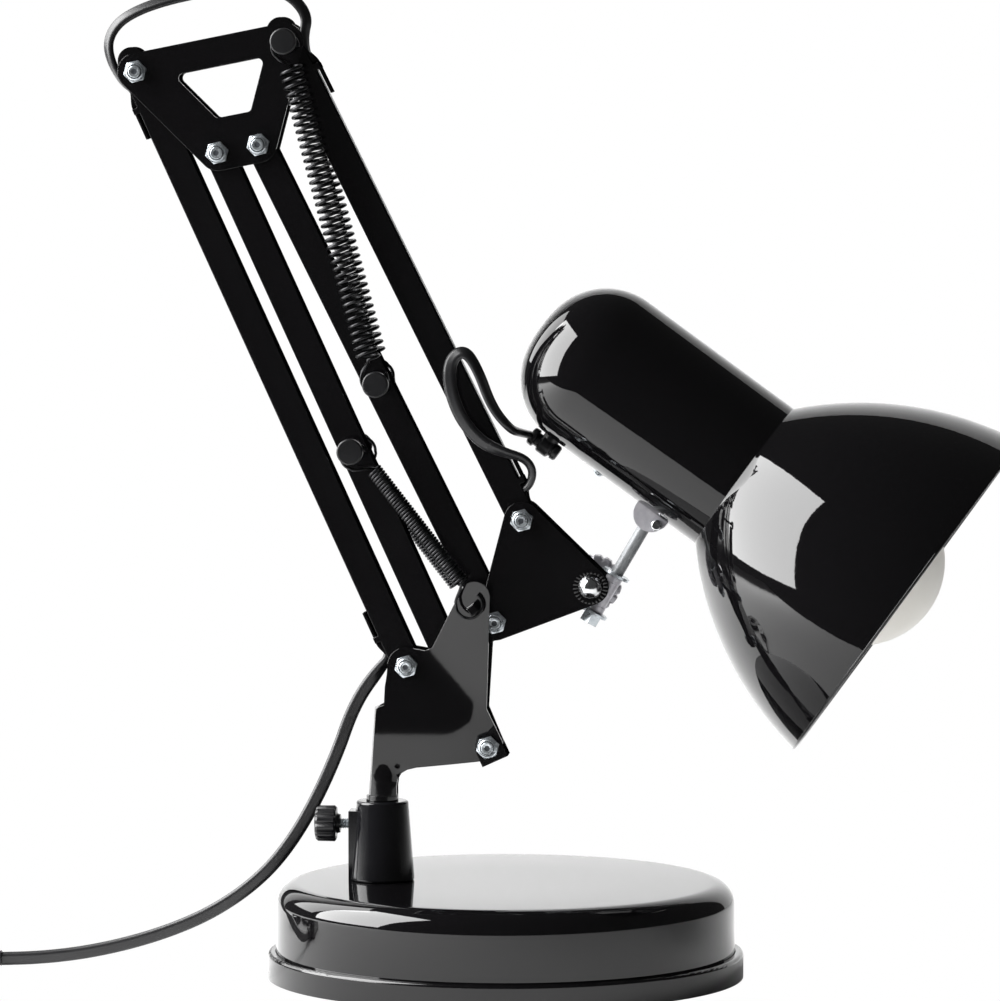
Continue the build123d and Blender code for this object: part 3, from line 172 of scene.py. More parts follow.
def paint(name, rough_low, rough_high, colour=(0.0032, 0.003, 0.0034), edge=0.0004):
    m, tree, shader = material(name, colour, 0.1)
    cloud = noise(tree, 35, 3)
    shader_colour = tint(tree, noise(tree, 900, 2), [c * 0.85 for c in colour], [c * 1.2 for c in colour])
    tree.links.new(shader_colour, shader.inputs["Base Color"])
    tree.links.new(ramp(tree, cloud, rough_low, rough_high), shader.inputs["Roughness"])
    soft_edges(tree, shader, edge, noise(tree, 260, 2), 0.05, 0.0002)
    return m


def plastic(name, colour, rough, grain=1800, depth=0.12, edge=0.0003):
    m, tree, shader = material(name, colour, rough)
    fine = noise(tree, grain, 3, 0.6)
    tree.links.new(ramp(tree, noise(tree, 60, 3), rough * 0.85, rough * 1.2), shader.inputs["Roughness"])
    shader_colour = tint(tree, fine, [c * 0.8 for c in colour], [c * 1.25 for c in colour])
    tree.links.new(shader_colour, shader.inputs["Base Color"])
    soft_edges(tree, shader, edge, fine, depth, 0.0002)
    return m


def metal(name, dark, light, rough_low, rough_high, grain=700, depth=0.1, edge=0.0002, stretch=(1, 1, 1)):
    m, tree, shader = material(name, light, rough_low, metal=1.0)
    cloud = noise(tree, 300, 4, 0.6, stretch)
    fine = noise(tree, grain, 3, 0.6, stretch)
    tree.links.new(tint(tree, cloud, dark, light), shader.inputs["Base Color"])
    tree.links.new(ramp(tree, fine, rough_low, rough_high), shader.inputs["Roughness"])
    soft_edges(tree, shader, edge, fine, depth, 0.0001)
    return m


PAINT = paint("gloss_black_paint", 0.02, 0.035)


def shade_sides_by_facing(m, flat_level, side_level):
    """Painted shade: takes the shine off the faces that lie across the arms' plane, by the way they face, so
    these sides read darker than the flat sides.
    """
    tree = m.node_tree
    shader = tree.nodes["Principled BSDF"]
    coords = tree.nodes.new("ShaderNodeTexCoord")
    parts = tree.nodes.new("ShaderNodeSeparateXYZ")
    size = tree.nodes.new("ShaderNodeMath")
    size.operation = "ABSOLUTE"
    tree.links.new(coords.outputs["Normal"], parts.inputs["Vector"])
    tree.links.new(parts.outputs["Y"], size.inputs[0])
    level = ramp(tree, size.outputs[0], side_level, flat_level, 0.1, 0.7)
    tree.links.new(level, shader.inputs["Specular IOR Level"])
    return m


SHEET_PAINT = paint("sheet_black_paint", 0.05, 0.1)
# Plate and bar paint with painted shade on the sides that lie across the arms' plane
PLATE_PAINT = shade_sides_by_facing(paint("plate_black_paint", 0.1, 0.18), 0.5, 0.05)
BAR_PAINT = shade_sides_by_facing(paint("bar_black_paint", 0.12, 0.2), 0.5, 0.0)
SKIRT_PAINT = paint("skirt_black_paint", 0.1, 0.16, edge=0.0002)
WHITE_PAINT = paint("white_inside_paint", 0.3, 0.42, (0.8, 0.8, 0.78))
PLASTIC = plastic("satin_black_plastic", (0.006, 0.006, 0.007), 0.3)
CAP_PLASTIC = plastic("cap_black_plastic", (0.007, 0.007, 0.008), 0.36, 1400, 0.2)
GLOSS_PLASTIC = plastic("gloss_black_plastic", (0.006, 0.006, 0.007), 0.12, 900, 0.03)
FLEX = plastic("flex_black", (0.009, 0.009, 0.01), 0.34, 1200, 0.1)
HOLDER = plastic("holder_white", (0.7, 0.69, 0.65), 0.35)
RUBBER = plastic("pad_rubber", (0.02, 0.02, 0.02), 0.7, 2500, 0.4)
ZINC = metal("zinc_plate", (0.5, 0.54, 0.57), (0.66, 0.7, 0.73), 0.24, 0.36, 700, 0.05)
ZINC.node_tree.nodes["Principled BSDF"].inputs["Metallic"].default_value = 0.86
ROD_ZINC = metal("dull_zinc", (0.24, 0.25, 0.26), (0.34, 0.35, 0.36), 0.42, 0.52, 600, 0.08)
ROD_ZINC.node_tree.nodes["Principled BSDF"].inputs["Metallic"].default_value = 0.4
NYLON_AND_HOLE_SHADE = plastic("nylon_ring_and_hole_shade", (0.03, 0.034, 0.04), 0.4)
CAST = metal("cast_zinc", (0.46, 0.45, 0.49), (0.58, 0.57, 0.6), 0.34, 0.46, 900, 0.2)
CAST.node_tree.nodes["Principled BSDF"].inputs["Metallic"].default_value = 0.4
CHROME = metal("chrome", (0.7, 0.71, 0.73), (0.82, 0.83, 0.84), 0.12, 0.2, 900, 0.04)
SPRING = metal("spring_black", (0.012, 0.012, 0.013), (0.06, 0.06, 0.062), 0.26, 0.42, 1500, 0.1)
BRASS = metal("brass", (0.5, 0.36, 0.14), (0.75, 0.58, 0.28), 0.25, 0.4)
IRON = metal("cast_iron", (0.04, 0.04, 0.04), (0.1, 0.1, 0.1), 0.6, 0.8, 600, 0.6)
TIN = metal("bulb_cap_metal", (0.6, 0.6, 0.58), (0.8, 0.8, 0.78), 0.2, 0.35)


def bulb_material():
    m, tree, shader = material("frosted_bulb", (0.9, 0.88, 0.82), 0.5)
    cloud = tint(tree, noise(tree, 30, 2), (0.88, 0.86, 0.8), (0.92, 0.9, 0.85))
    tree.links.new(cloud, shader.inputs["Base Color"])
    tree.links.new(ramp(tree, noise(tree, 200, 2), 0.46, 0.54), shader.inputs["Roughness"])
    return m


BULB = bulb_material()

FINISH = {
    PAINT: ["base_shell", "shade"],
    SKIRT_PAINT: ["base_skirt"],
    SHEET_PAINT: ["lower_bracket", "post_pin"],
    BAR_PAINT: ["lower_rear_bar", "lower_front_bar", "upper_rear_bar", "upper_front_bar", "head_bracket"],
    PLATE_PAINT: ["elbow_plate_near", "elbow_plate_far"],
    PLASTIC: ["thumb_screw_knob", "cord_gland"],
    CAP_PLASTIC: ["lower_peg_caps", "elbow_peg_caps", "upper_peg_caps"],
    GLOSS_PLASTIC: ["inline_switch", "switch_rocker", "plug_body", "post_socket"],
    ZINC: [
        "lower_pivot_bolts", "lower_pivot_nuts", "elbow_bolts", "elbow_nuts", "head_bracket_bolts",
        "head_bracket_nuts", "rod_washers", "rod_nut", "thumb_screw_shank", "socket_screw",
        "lower_peg", "elbow_peg", "upper_peg",
    ],
    ROD_ZINC: ["head_rod"],
    SPRING: ["lower_spring_near", "lower_spring_far", "upper_spring_near", "upper_spring_far"],
    CHROME: ["tilt_screw", "lug_screw", "plug_pins"],
    CAST: ["tilt_knob", "knuckle", "head_lug"],
    IRON: ["base_weight"],
    RUBBER: ["base_pad"],
    BRASS: ["socket_insert", "holder_contact"],
    FLEX: [
        "lower_arm_cord", "upper_arm_cord", "elbow_cord", "head_cord", "mains_cord", "cord_coil", "cord_tie",
    ],
    HOLDER: ["lampholder"],
    BULB: ["bulb_glass"],
    TIN: ["bulb_cap"],
}
for finish, names in FINISH.items():
    for name in names:
        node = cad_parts[name]
        node.data.materials.clear()
        node.data.materials.append(finish)


# Mesh helpers
def mesh_object(name, verts, faces, mats, indices=None, sharp=35):
    data = bpy.data.meshes.new(name)
    data.from_pydata([tuple(v) for v in verts], [], faces)
    for m in mats:
        data.materials.append(m)
    if indices is not None:
        data.polygons.foreach_set("material_index", indices)
    clean = bmesh.new()
    clean.from_mesh(data)
    bmesh.ops.remove_doubles(clean, verts=clean.verts, dist=1e-7)
    bmesh.ops.recalc_face_normals(clean, faces=clean.faces)
    clean.to_mesh(data)
    clean.free()
    data.shade_smooth()
    data.set_sharp_from_angle(angle=math.radians(sharp))
    obj = bpy.data.objects.new(name, data)
    scene.collection.objects.link(obj)
    return obj


def smooth_line(points, resolution=10):
    """Points along an order 3 spline whose control points are these, in metres."""
    data = bpy.data.curves.new("route", "CURVE")
    data.dimensions = "3D"
    data.resolution_u = resolution
    spline = data.splines.new("NURBS")
    spline.points.add(len(points) - 1)
    for target, point in zip(spline.points, points):
        target.co = (*(Vector(point) * MM), 1)
    spline.order_u = 3
    spline.use_endpoint_u = True
    obj = bpy.data.objects.new("route", data)
    scene.collection.objects.link(obj)
    bpy.context.view_layer.update()
    line = bpy.data.meshes.new_from_object(obj.evaluated_get(bpy.context.evaluated_depsgraph_get()))
    found = [v.co.copy() for v in line.vertices]
    bpy.data.meshes.remove(line)
    bpy.data.objects.remove(obj)
    bpy.data.curves.remove(data)
    return found


def swept(name, line, section, frames, mats, sharp=50):
    """A closed tube: section gives (wide, thin) offsets, frames the two directions at each point."""
    verts, faces = [], []
    count = len(section)
    for point, (wide, thin) in zip(line, frames):
        verts += [point + wide * a + thin * b for a, b in section]
    for i in range(len(line) - 1):
        for j in range(count):
            k = (j + 1) % count
            faces.append((i * count + j, i * count + k, (i + 1) * count + k, (i + 1) * count + j))
    faces.append(tuple(range(count)))
    faces.append(tuple((len(line) - 1) * count + j for j in range(count)))
    return mesh_object(name, verts, faces, mats, sharp=sharp)


def tangents(line):
    last = len(line) - 1
    return [(line[min(i + 1, last)] - line[max(i - 1, 0)]).normalized() for i in range(len(line))]


# Flex: two round cores side by side in one flat sheath
FLEX_W = 5.4
FLEX_T = 3.2


def flex_section():
    points = []
    for i in range(24):
        a = 2 * math.pi * i / 24
        wide = math.cos(a)
        thin = math.sin(a)
        waist = 1 - 0.14 * math.exp(-((wide / 0.22) ** 2))
        across = math.copysign(abs(wide) ** 0.8, wide)
        points.append((FLEX_W / 2 * across * MM, FLEX_T / 2 * thin * waist * MM))
    return points


def twist_at(twists, share):
    """The turn at a share of the way, eased between the given (share, turn) pairs."""
    for (start, low), (stop, high) in zip(twists, twists[1:]):
        if share <= stop:
            t = (share - start) / (stop - start)
            return math.radians(low + (high - low) * smooth(t))
    return math.radians(twists[-1][1])


def flex_line(route, twists, level=Vector((0, 1, 0)), resolution=10):
    """The smooth line of a flat flex, and its frames.

    At twist 0 its wide side lies along level, and at 90 across it.
    """
    line = smooth_line(route, resolution)
    frames = []
    for i, way in enumerate(tangents(line)):
        across = (level - way * level.dot(way)).normalized()
        other = way.cross(across)
        a = twist_at(twists, i / (len(line) - 1))
        c, s = math.cos(a), math.sin(a)
        frames.append((across * c + other * s, other * c - across * s))
    return line, frames


def flex(name, drawn, node=None, from_mm=0.0, to_mm=None):
    """The stretch of a drawn flex between two lengths along it, swept as a tube."""
    line, frames = drawn
    reached = 0.0
    first, last = 0, len(line) - 1
    for i in range(1, len(line)):
        reached += (line[i] - line[i - 1]).length / MM
        if reached <= from_mm:
            first = i
        if to_mm is not None and reached <= to_mm:
            last = i
    part = line[first:last + 1]
    obj = swept(name, part, flex_section(), frames[first:last + 1], [FLEX])
    if node is not None:
        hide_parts(node)
    return obj


def in_bar(start, angle, side, along, aside=4.4):
    a = math.radians(angle)
    x = start[0] + along * math.cos(a) - side * aside * math.sin(a)
    z = start[1] + along * math.sin(a) + side * aside * math.cos(a)
    return (x, 0, z)


def lower_flex(along):
    return in_bar(P1, LOWER_ANGLE, 1, along)


def upper_flex(along):
    return in_bar(P7, UPPER_BACK, -1, along)


# Routes of the flex, near the model's own
SWITCH_X = -226.0
SWITCH_CORD_Z = 4.6
MAINS_ROUTE = [
    lower_flex(12.0), lower_flex(6.5), (-50.6, 0, 121.6), (-57.0, 0, 113.0), (-62.0, 0, 103.0),
    (-66.4, 0, 90.2), (-73.8, 0, 73.2), (-82.6, 0, 57.0), (-93.0, 0, 43.0), (-105.4, 0, 32.0),
    (-120.2, 0, 22.8), (-138.0, 0, 15.4), (-157.6, 0, 9.8), (-177.6, 0, 6.2), (-200.0, 0, SWITCH_CORD_Z),
    (SWITCH_X, 0, SWITCH_CORD_Z),
]
ELBOW_ROUTE = [
    lower_flex(247.0), lower_flex(251.0), in_bar(P1, LOWER_ANGLE, 1, 256.0, 7.4), (-156.4, 0, 362.6),
    (-157.6, 0, 370.6), (-153.6, 0, 377.6), (-146.0, 0, 382.4), (-135.4, 0, 386.2), (-122.5, 0, 389.2),
    (-106.0, 0, 392.2), (-91.0, 0, 391.2), (-82.8, 0, 386.8), (-78.2, 0, 380.0),
    in_bar(P7, UPPER_BACK, -1, 209.0, 7.0), in_bar(P7, UPPER_BACK, -1, 203.0, 4.8), upper_flex(197.0),
    upper_flex(192.0),
]
GLAND_MOUTH = HEAD_ORIGIN + HEAD_DIR * -77.2 + HEAD_DOWN * 36.8
HEAD_ROUTE = [
    upper_flex(16.0), upper_flex(12.0), (6.2, -2.0, 193.2), (10.2, -3.6, 196.4), (11.4, -5.8, 202.4),
    (7.8, -8.0, 207.2), (0.0, -10.0, 209.2), (-9.0, -11.0, 213.4), (-16.8, -11.4, 222.6),
    (-21.2, -11.6, 234.6), (-21.2, -11.8, 245.6), (-15.2, -12.0, 250.0), (-9.8, -11.8, 241.8),
    (-4.6, -12.4, 227.6), (2.4, -12.6, 219.0),
    tuple(GLAND_MOUTH - HEAD_DIR * 4.4 + HEAD_DOWN * 1.4 - Vector((0, 6.4, 0))), tuple(GLAND_MOUTH),
]

LEAD_TOP = 36.0
lead_drawn = flex_line(MAINS_ROUTE, [(0, 0), (0.16, 75), (1, 85)])
lead_top = flex("lead_top", lead_drawn, None, 0.0, LEAD_TOP)
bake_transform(lead_top)
lead = flex("lead", lead_drawn, "mains_cord", LEAD_TOP, None)
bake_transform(lead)

# Coil of the put-away lead
COIL_X, COIL_Y, COIL_R = -314.0, 38.5, 38.5
COIL_PITCH, COIL_LOW = 5.0, 3.4
HALVES_IN = 8


def coil_radius(half):
    inward = HALVES_IN + 1
    if half <= inward:
        return COIL_R - half * COIL_PITCH / 2
    return COIL_R - (2 * inward - half) * COIL_PITCH / 2 + 2.6 * min(1.0, half - inward)


def coil_points():
    points = [(-282.0, 0, 4.6), (-287.0, 0, 4.6), (-293.0, 0, 4.2), (-302.0, 0, 3.6)]
    per_half = 8
    spread = 1 / math.cos(math.pi / per_half / 2)
    last = 2 * HALVES_IN + 1
    for i in range(last * per_half + 1):
        half = i / per_half
        angle = -math.pi / 2 - math.pi * half
        climb = min(1.0, max(0.0, half - HALVES_IN))
        height = COIL_LOW + COIL_PITCH * smooth(climb)
        radius = coil_radius(half) * (spread if 0 < i < last * per_half else 1)
        points.append((COIL_X + radius * math.cos(angle), COIL_Y + radius * math.sin(angle), height))
    end = points[-1]
    points.append((end[0] + 14.0, end[1] + 0.2, end[2]))
    points.append((-278.0, end[1], end[2]))
    return points


coil_drawn = flex_line(coil_points(), [(0, 90), (1, 90)], Vector((0, 0, 1)), 4)
lead_coil = flex("lead_coil", coil_drawn, "cord_coil", 0.0, None)
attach(lead_coil, "base")

ELBOW_SPLIT = 72.0
elbow_drawn = flex_line(ELBOW_ROUTE, [(0, 0), (0.3, 40), (0.7, 40), (1, 0)])
elbow_rise = flex("elbow_rise", elbow_drawn, "elbow_cord", 0.0, ELBOW_SPLIT)
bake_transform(elbow_rise)
elbow_fall = flex("elbow_fall", elbow_drawn, None, ELBOW_SPLIT)
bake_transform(elbow_fall)

HEAD_FROM, HEAD_TURN, HEAD_RISE = 4.0, 38.0, 73.0
head_drawn = flex_line(HEAD_ROUTE, [(0, 0), (0.3, 20), (0.45, 70), (0.6, 75), (0.78, 30), (1, 0)])
head_turn = flex("head_turn", head_drawn, "head_cord", HEAD_FROM, HEAD_TURN)
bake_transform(head_turn)
head_rise = flex("head_rise", head_drawn, None, HEAD_TURN, HEAD_RISE)
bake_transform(head_rise)
head_fall = flex("head_fall", head_drawn, None, HEAD_RISE)
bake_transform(head_fall)


# Springs wound in full, with an eye at each end
EYE_R, EYE_FROM, EYE_TO, EYE_GAP, PIN_R = 5.2, 75, 310, 0.3, 2.0
PER_TURN, COIL_SPLIT = 16, 0.64


def spring(name, node, top, end, y, side, wire_r, coil_r, coil_l, aside, turns, shares):
    """shares: a (start, end) pair for each length the spring is split into; only how many there are is used
    here.
    """
    reach = math.hypot(end[0] - top[0], end[1] - top[1])
    along = Vector(((end[0] - top[0]) / reach, 0, (end[1] - top[1]) / reach))
    across = Vector((-along.z, 0, along.x)) * side
    outward = Vector((0, -side, 0))
    origin = Vector((top[0], -side * y, top[1]))
    eye_at = EYE_R - wire_r - PIN_R - EYE_GAP

    def place(u, v, w):
        return origin + along * u + across * v + outward * w

    def eye(angle):
        a = math.radians(angle)
        return eye_at + EYE_R * math.cos(a), EYE_R * math.sin(a)

    coil_from = (reach - coil_l) / 2
    head = []
    for i in range(25):
        u, v = eye(EYE_FROM + (EYE_TO - EYE_FROM) * i / 24)
        head.append((u, v, 0.0))
    u, v, w = head[-1]
    lead = coil_from - u
    for i in range(1, 7):
        t = i / 7
        s = smooth(t)
        head.append((u + lead * t, v + (aside - v) * s, -coil_r * s * t))
    body = []
    steps = int(turns * PER_TURN)
    for i in range(steps + 1):
        a = 2 * math.pi * (i / PER_TURN) - math.pi / 2
        body.append((coil_from + coil_l * i / steps, aside + coil_r * math.cos(a), coil_r * math.sin(a)))
    tail = [(reach - u, v, -w) for u, v, w in reversed(head)]
    line = [place(*p) * MM for p in head + body + tail]
    ways = tangents(line)
    frames = []
    side_way = outward.copy()
    for way in ways:
        side_way = (side_way - way * side_way.dot(way)).normalized()
        frames.append((side_way.copy(), way.cross(side_way)))
    section = []
    for i in range(8):
        a = math.pi * i / 4
        section.append((wire_r * MM * math.cos(a), wire_r * MM * math.sin(a)))
    coil_at = len(head)
    marks = [0, len(line) - 1]
    if len(shares) == 4:
        marks[1:1] = [coil_at, coil_at + int(steps * COIL_SPLIT), coil_at + steps]
    for i, (low, high) in enumerate(shares):
        cut = slice(marks[i], marks[i + 1] + 1)
        obj = swept(f"{name}_{i + 1}", line[cut], section, frames[cut], [SPRING], sharp=70)
        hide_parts(node)
        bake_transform(obj)


# The lower springs swing round the tab faster than the bar turns, so they are split to stay straight
LOWER_SHARES = ((0.0, 0.923), (-0.12, 1.57), (0.124, 1.242), (0.583, 1.0))
UPPER_SHARES = ((0.07, 0.5),)
for side, word in ((1, "near"), (-1, "far")):
    spring(f"lower_coil_{word}", f"lower_spring_{word}", LOWER_PEG, TAB, 16.7, side, 0.6, 2.7, 56.0, 3.0,
           42.5, LOWER_SHARES)
    spring(f"upper_coil_{word}", f"upper_spring_{word}", P6, UPPER_PEG, 12.3, side, 0.68, 4.2, 119.0, 0.0,
           40.5, UPPER_SHARES)


# Turned and small pieces
def lathe(name, profile, origin, axis, mats, steps=96, shape=None, turn=0.0, material_rows=None, sharp=35):
    """Turns (along, radius) points about an axis. shape can change the radius at an angle."""
    along_way = Vector(axis).normalized()
    side = along_way.orthogonal().normalized()
    other = along_way.cross(side)
    verts, faces, indices = [], [], []
    for along, radius in profile:
        for j in range(steps):
            a = 2 * math.pi * j / steps + math.radians(turn)
            r, lift = (radius, along) if shape is None else shape(along, radius, a)
            out_way = side * math.cos(a) + other * math.sin(a)
            verts.append((Vector(origin) + along_way * lift + out_way * r) * MM)
    for i in range(len(profile) - 1):
        for j in range(steps):
            k = (j + 1) % steps
            faces.append((i * steps + j, i * steps + k, (i + 1) * steps + k, (i + 1) * steps + j))
            indices.append(0 if material_rows is None else material_rows(i))
    return mesh_object(name, verts, faces, mats, indices, sharp)


def arc(centre, radius, start, stop, count):
    points = []
    for i in range(count + 1):
        a = math.radians(start + (stop - start) * i / count)
        points.append((centre[0] + radius * math.cos(a), centre[1] + radius * math.sin(a)))
    return points


def joined(name, parts, body, nodes_replaced):
    """Joins meshes into one piece that rides a body and stands for CAD nodes."""
    data = bmesh.new()
    mats = list(parts[0].data.materials)
    for part in parts:
        data.from_mesh(part.data)
    mesh = bpy.data.meshes.new(name)
    data.to_mesh(mesh)
    data.free()
    for m in mats:
        mesh.materials.append(m)
    obj = bpy.data.objects.new(name, mesh)
    scene.collection.objects.link(obj)
    for part in parts:
        bpy.data.objects.remove(part)
    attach(obj, body)
    if nodes_replaced:
        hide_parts(*nodes_replaced)
    return obj


# Lock nuts: a chamfered hexagon, a rolled collar, a nylon ring and the bolt's end, whose middle is painted
# dark as painted shade of a hole
PLATE_OUT = 7.2
NUT_HALF = 4.0
NUT_HEX_H = 2.7
NUT_H = 4.0


def hexagon(along, radius, a):
    if radius < NUT_HALF - 0.05:
        return radius, along
    corner = NUT_HALF / math.cos((a + math.pi / 6) % (math.pi / 3) - math.pi / 6)
    if radius > NUT_HALF + 0.3:
        return corner, along - (corner - NUT_HALF) * 0.6
    return min(corner, radius), along


NUT_PROFILE = [
    (-1.0, 2.6), (-1.0, 3.9), (0.0, 3.95), (0.25, 3.97), (0.26, NUT_HALF + 0.6), (NUT_HEX_H, NUT_HALF + 0.6),
    (NUT_HEX_H, 3.94), (NUT_HEX_H + 0.02, 3.5), (NUT_HEX_H + 0.9, 3.48), (NUT_H - 0.2, 3.3), (NUT_H, 3.0),
    (NUT_H - 0.1, 2.72),
    (NUT_H - 0.5, 2.66), (NUT_H - 0.5, 2.52), (NUT_H + 0.3, 2.5), (NUT_H + 0.62, 2.15), (NUT_H + 0.62, 1.25),
    (NUT_H + 0.56, 1.1), (NUT_H + 0.54, 0.0),
]


# Rows 11 to 13 are the nylon ring; row 17 is the middle of the bolt's end, painted dark as the painted shade
# of a hole
def nylon_and_hole_shade_rows(row):
    return 1 if row in (11, 12, 13, 17) else 0


def nut(name, pivot, turn):
    origin = Vector((pivot[0], -PLATE_OUT, pivot[1]))
    return lathe(name, NUT_PROFILE, origin, VIEWER, [ZINC, NYLON_AND_HOLE_SHADE], 72, hexagon, turn, nylon_and_hole_shade_rows, 28)


lower_nuts = [nut("nut_a", P1, 12), nut("nut_b", P2, 40)]
elbow_nuts = [nut("nut_c", P3, 4), nut("nut_d", P4, 25), nut("nut_e", P5, 50)]
head_nuts = [nut("nut_f", P7, 20), nut("nut_g", P8, 33)]
joined("lower_lock_nuts", lower_nuts, "post", ["lower_pivot_nuts"])
joined("elbow_lock_nuts", elbow_nuts, "elbow", ["elbow_nuts"])
joined("head_lock_nuts", head_nuts, "head_bracket", ["head_bracket_nuts"])

# Domed tilt screw with its serrated ring on the plate
TILT_AT = Vector((P9[0], -PLATE_OUT, P9[1]))
tilt_profile = [(-21.5, 0.0), (-21.5, 2.45), (0.0, 2.45), (0.0, 4.5), (0.5, 4.6)]
tilt_profile += arc((-1.2, 0.0), 4.85, 68, 0, 10)
tilt_dome = lathe("tilt_dome", tilt_profile, TILT_AT, VIEWER, [CHROME], 64)
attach(tilt_dome, "head_bracket")
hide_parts("tilt_screw")
SERRATIONS = 26


def serration(along, radius, a):
    ridge = 0.5 + 0.5 * math.cos(a * SERRATIONS)
    return radius, along * ridge


ring_profile = [(0.0, 5.0), (0.22, 5.3), (0.22, 6.4), (0.0, 6.9)]
serrated = lathe("serrated_ring", ring_profile, TILT_AT, VIEWER, [SHEET_PAINT], SERRATIONS * 8, serration)
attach(serrated, "head_bracket")

# Notched tilt wheel behind the head bracket, and the knuckle that holds the rod
NOTCHES = 15


def notched(along, radius, a):
    cut = max(0.0, math.cos(a * NOTCHES)) ** 2
    return radius - (0.9 * cut if radius > 9.0 else 0.0), along


wheel_profile = [
    (0.0, 2.6), (0.0, 9.4), (0.5, 10.6), (1.2, 11.2), (7.6, 11.2), (8.5, 10.6), (9.0, 9.4), (8.4, 6.2),
    (9.2, 4.6), (9.2, 2.6),
]
WHEEL_AT = (P9[0], PLATE_OUT + 0.3, P9[1])
tilt_wheel = lathe("tilt_wheel", wheel_profile, WHEEL_AT, (0, 1, 0), [CAST], NOTCHES * 12, notched)
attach(tilt_wheel, "tilt_knob")
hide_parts("tilt_knob")
sleeve_profile = [
    (-8.0, 2.55), (-8.0, 3.0), (-7.6, 3.3), (-5.4, 3.3), (-5.2, 3.1), (5.2, 3.1), (5.4, 3.3), (7.6, 3.3),
    (8.0, 3.0), (8.0, 2.55),
]
barrel_profile = [(-5.9, 2.6), (-5.9, 5.2), (-5.5, 5.6), (5.5, 5.6), (5.9, 5.2), (5.9, 2.6)]
joined("rod_knuckle", [
    lathe("rod_sleeve", sleeve_profile, ROD_FOOT, ROD_DIR, [CAST], 48),
    lathe("cross_barrel", barrel_profile, (P9[0], 0, P9[1]), (0, 1, 0), [CAST], 56),
], "knuckle", ["knuckle"])

# Ramps where the bars' tongues rise from the edge
BAR_HALF_W, BAR_HALF_D, TONGUE_RISE, TONGUE_AT, RAMP_L = 5.5, 5.5, 2.3, 13.0, 8.0


def tongue_ramp(name, start, angle, side, root, way, body):
    steps = 12
    verts, faces = [], []
    for i in range(steps + 1):
        t = i / steps
        along = root - way * RAMP_L * (1 - t)
        rise = TONGUE_RISE * smooth(t)
        for lift, y in ((-0.6, -BAR_HALF_D), (rise, -BAR_HALF_D), (rise, BAR_HALF_D), (-0.6, BAR_HALF_D)):
            q = in_bar(start, angle, side, along, BAR_HALF_W + lift)
            verts.append(mm(q[0], y * (1 - 0.35 * t), q[2]))
    for i in range(steps):
        for j in range(4):
            k = (j + 1) % 4
            faces.append((4 * i + j, 4 * i + k, 4 * i + 4 + k, 4 * i + 4 + j))
    faces += [(0, 1, 2, 3), tuple(4 * steps + j for j in range(4))]
    obj = mesh_object(name, verts, faces, [BAR_PAINT])
    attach(obj, body)


tongue_ramp("lower_foot_ramp", P1, LOWER_ANGLE, 1, TONGUE_AT, 1, "lower_rear")
tongue_ramp("lower_top_ramp", P1, LOWER_ANGLE, 1, LOWER_L - TONGUE_AT, -1, "lower_rear")
tongue_ramp("upper_foot_ramp", P7, UPPER_BACK, -1, TONGUE_AT, 1, "upper_rear")
tongue_ramp("upper_top_ramp", P7, UPPER_BACK, -1, UPPER_L - TONGUE_AT, -1, "upper_rear")

# Lower bracket: two dished sheets with flared ears, and a rolled stem
SHEET_T, STEM_FOOT, STEM_LEFT, STEM_RIGHT, SHEET_GRID = 1.2, 72.1, -53.4, -43.0, 1.5
CREASE_A = Vector((P1[0] + 9.7, P1[1] + 5.3))
CREASE_B = Vector((P2[0] - 0.6, P2[1] + 15.1))
CREASE_WAY = (CREASE_B - CREASE_A).normalized()
EAR_WAY = Vector((-CREASE_WAY.y, CREASE_WAY.x))
EAR_SLOPE, EAR_EASE = math.tan(math.radians(15)), 7.5
EAR_ALONG, EAR_REACH, EAR_R = -3.7, 30.3 * math.cos(math.radians(15)), 6.0
DISH_SLOPE, DISH_EASE, DISH_TOP = math.tan(math.radians(7.0)), 5.0, 97.0
DISH_FROM, DISH_RISE = -25.0, 0.045
STEM_AXIS, STEM_HALF, ROUND_TOP, ROUND_DROP = -48.2, 6.2, 87.0, 8.0
STEM_NEAR, STEM_FADE, STEM_EDGE, STEM_BOW = 11.5, 6.0, 3.6, 2.6


def eased(distance, width):
    if distance <= -width:
        return 0.0
    if distance >= width:
        return distance
    return (distance + width) ** 2 / (4 * width)


def sheet_depth(x, z):
    """How far the sheet's outer face stands from the middle plane."""
    flare = EAR_SLOPE * eased((Vector((x, z)) - CREASE_A).dot(EAR_WAY), EAR_EASE)
    top = DISH_TOP + DISH_RISE * max(0.0, x - DISH_FROM) ** 2
    dish = DISH_SLOPE * eased(top - z, DISH_EASE)
    flat = PLATE_OUT + flare - dish
    share = min(1.0, max(0.0, (ROUND_TOP - z) / ROUND_DROP))
    near_stem = min(1.0, max(0.0, (STEM_AXIS + STEM_NEAR - x) / STEM_FADE))
    share = smooth(share) * near_stem ** 2
    bow = 1.0 - min(1.0, abs(x - STEM_AXIS) / STEM_HALF) ** 2
    return flat + (STEM_EDGE + STEM_BOW * bow - flat) * share


def ear_outline():
    tip = Vector((EAR_ALONG, EAR_REACH))
    width = (CREASE_B - CREASE_A).length
    turns = []
    for foot, side in ((Vector((0, 0)), 1), (Vector((width, 0)), -1)):
        way = tip - foot
        lean = math.atan2(way.y, way.x) + side * math.asin(EAR_R / way.length)
        turns.append(math.degrees(lean) + side * 90)
    return [CREASE_A + CREASE_WAY * u + EAR_WAY * v for u, v in arc(tip, EAR_R, turns[0], turns[1], 26)]


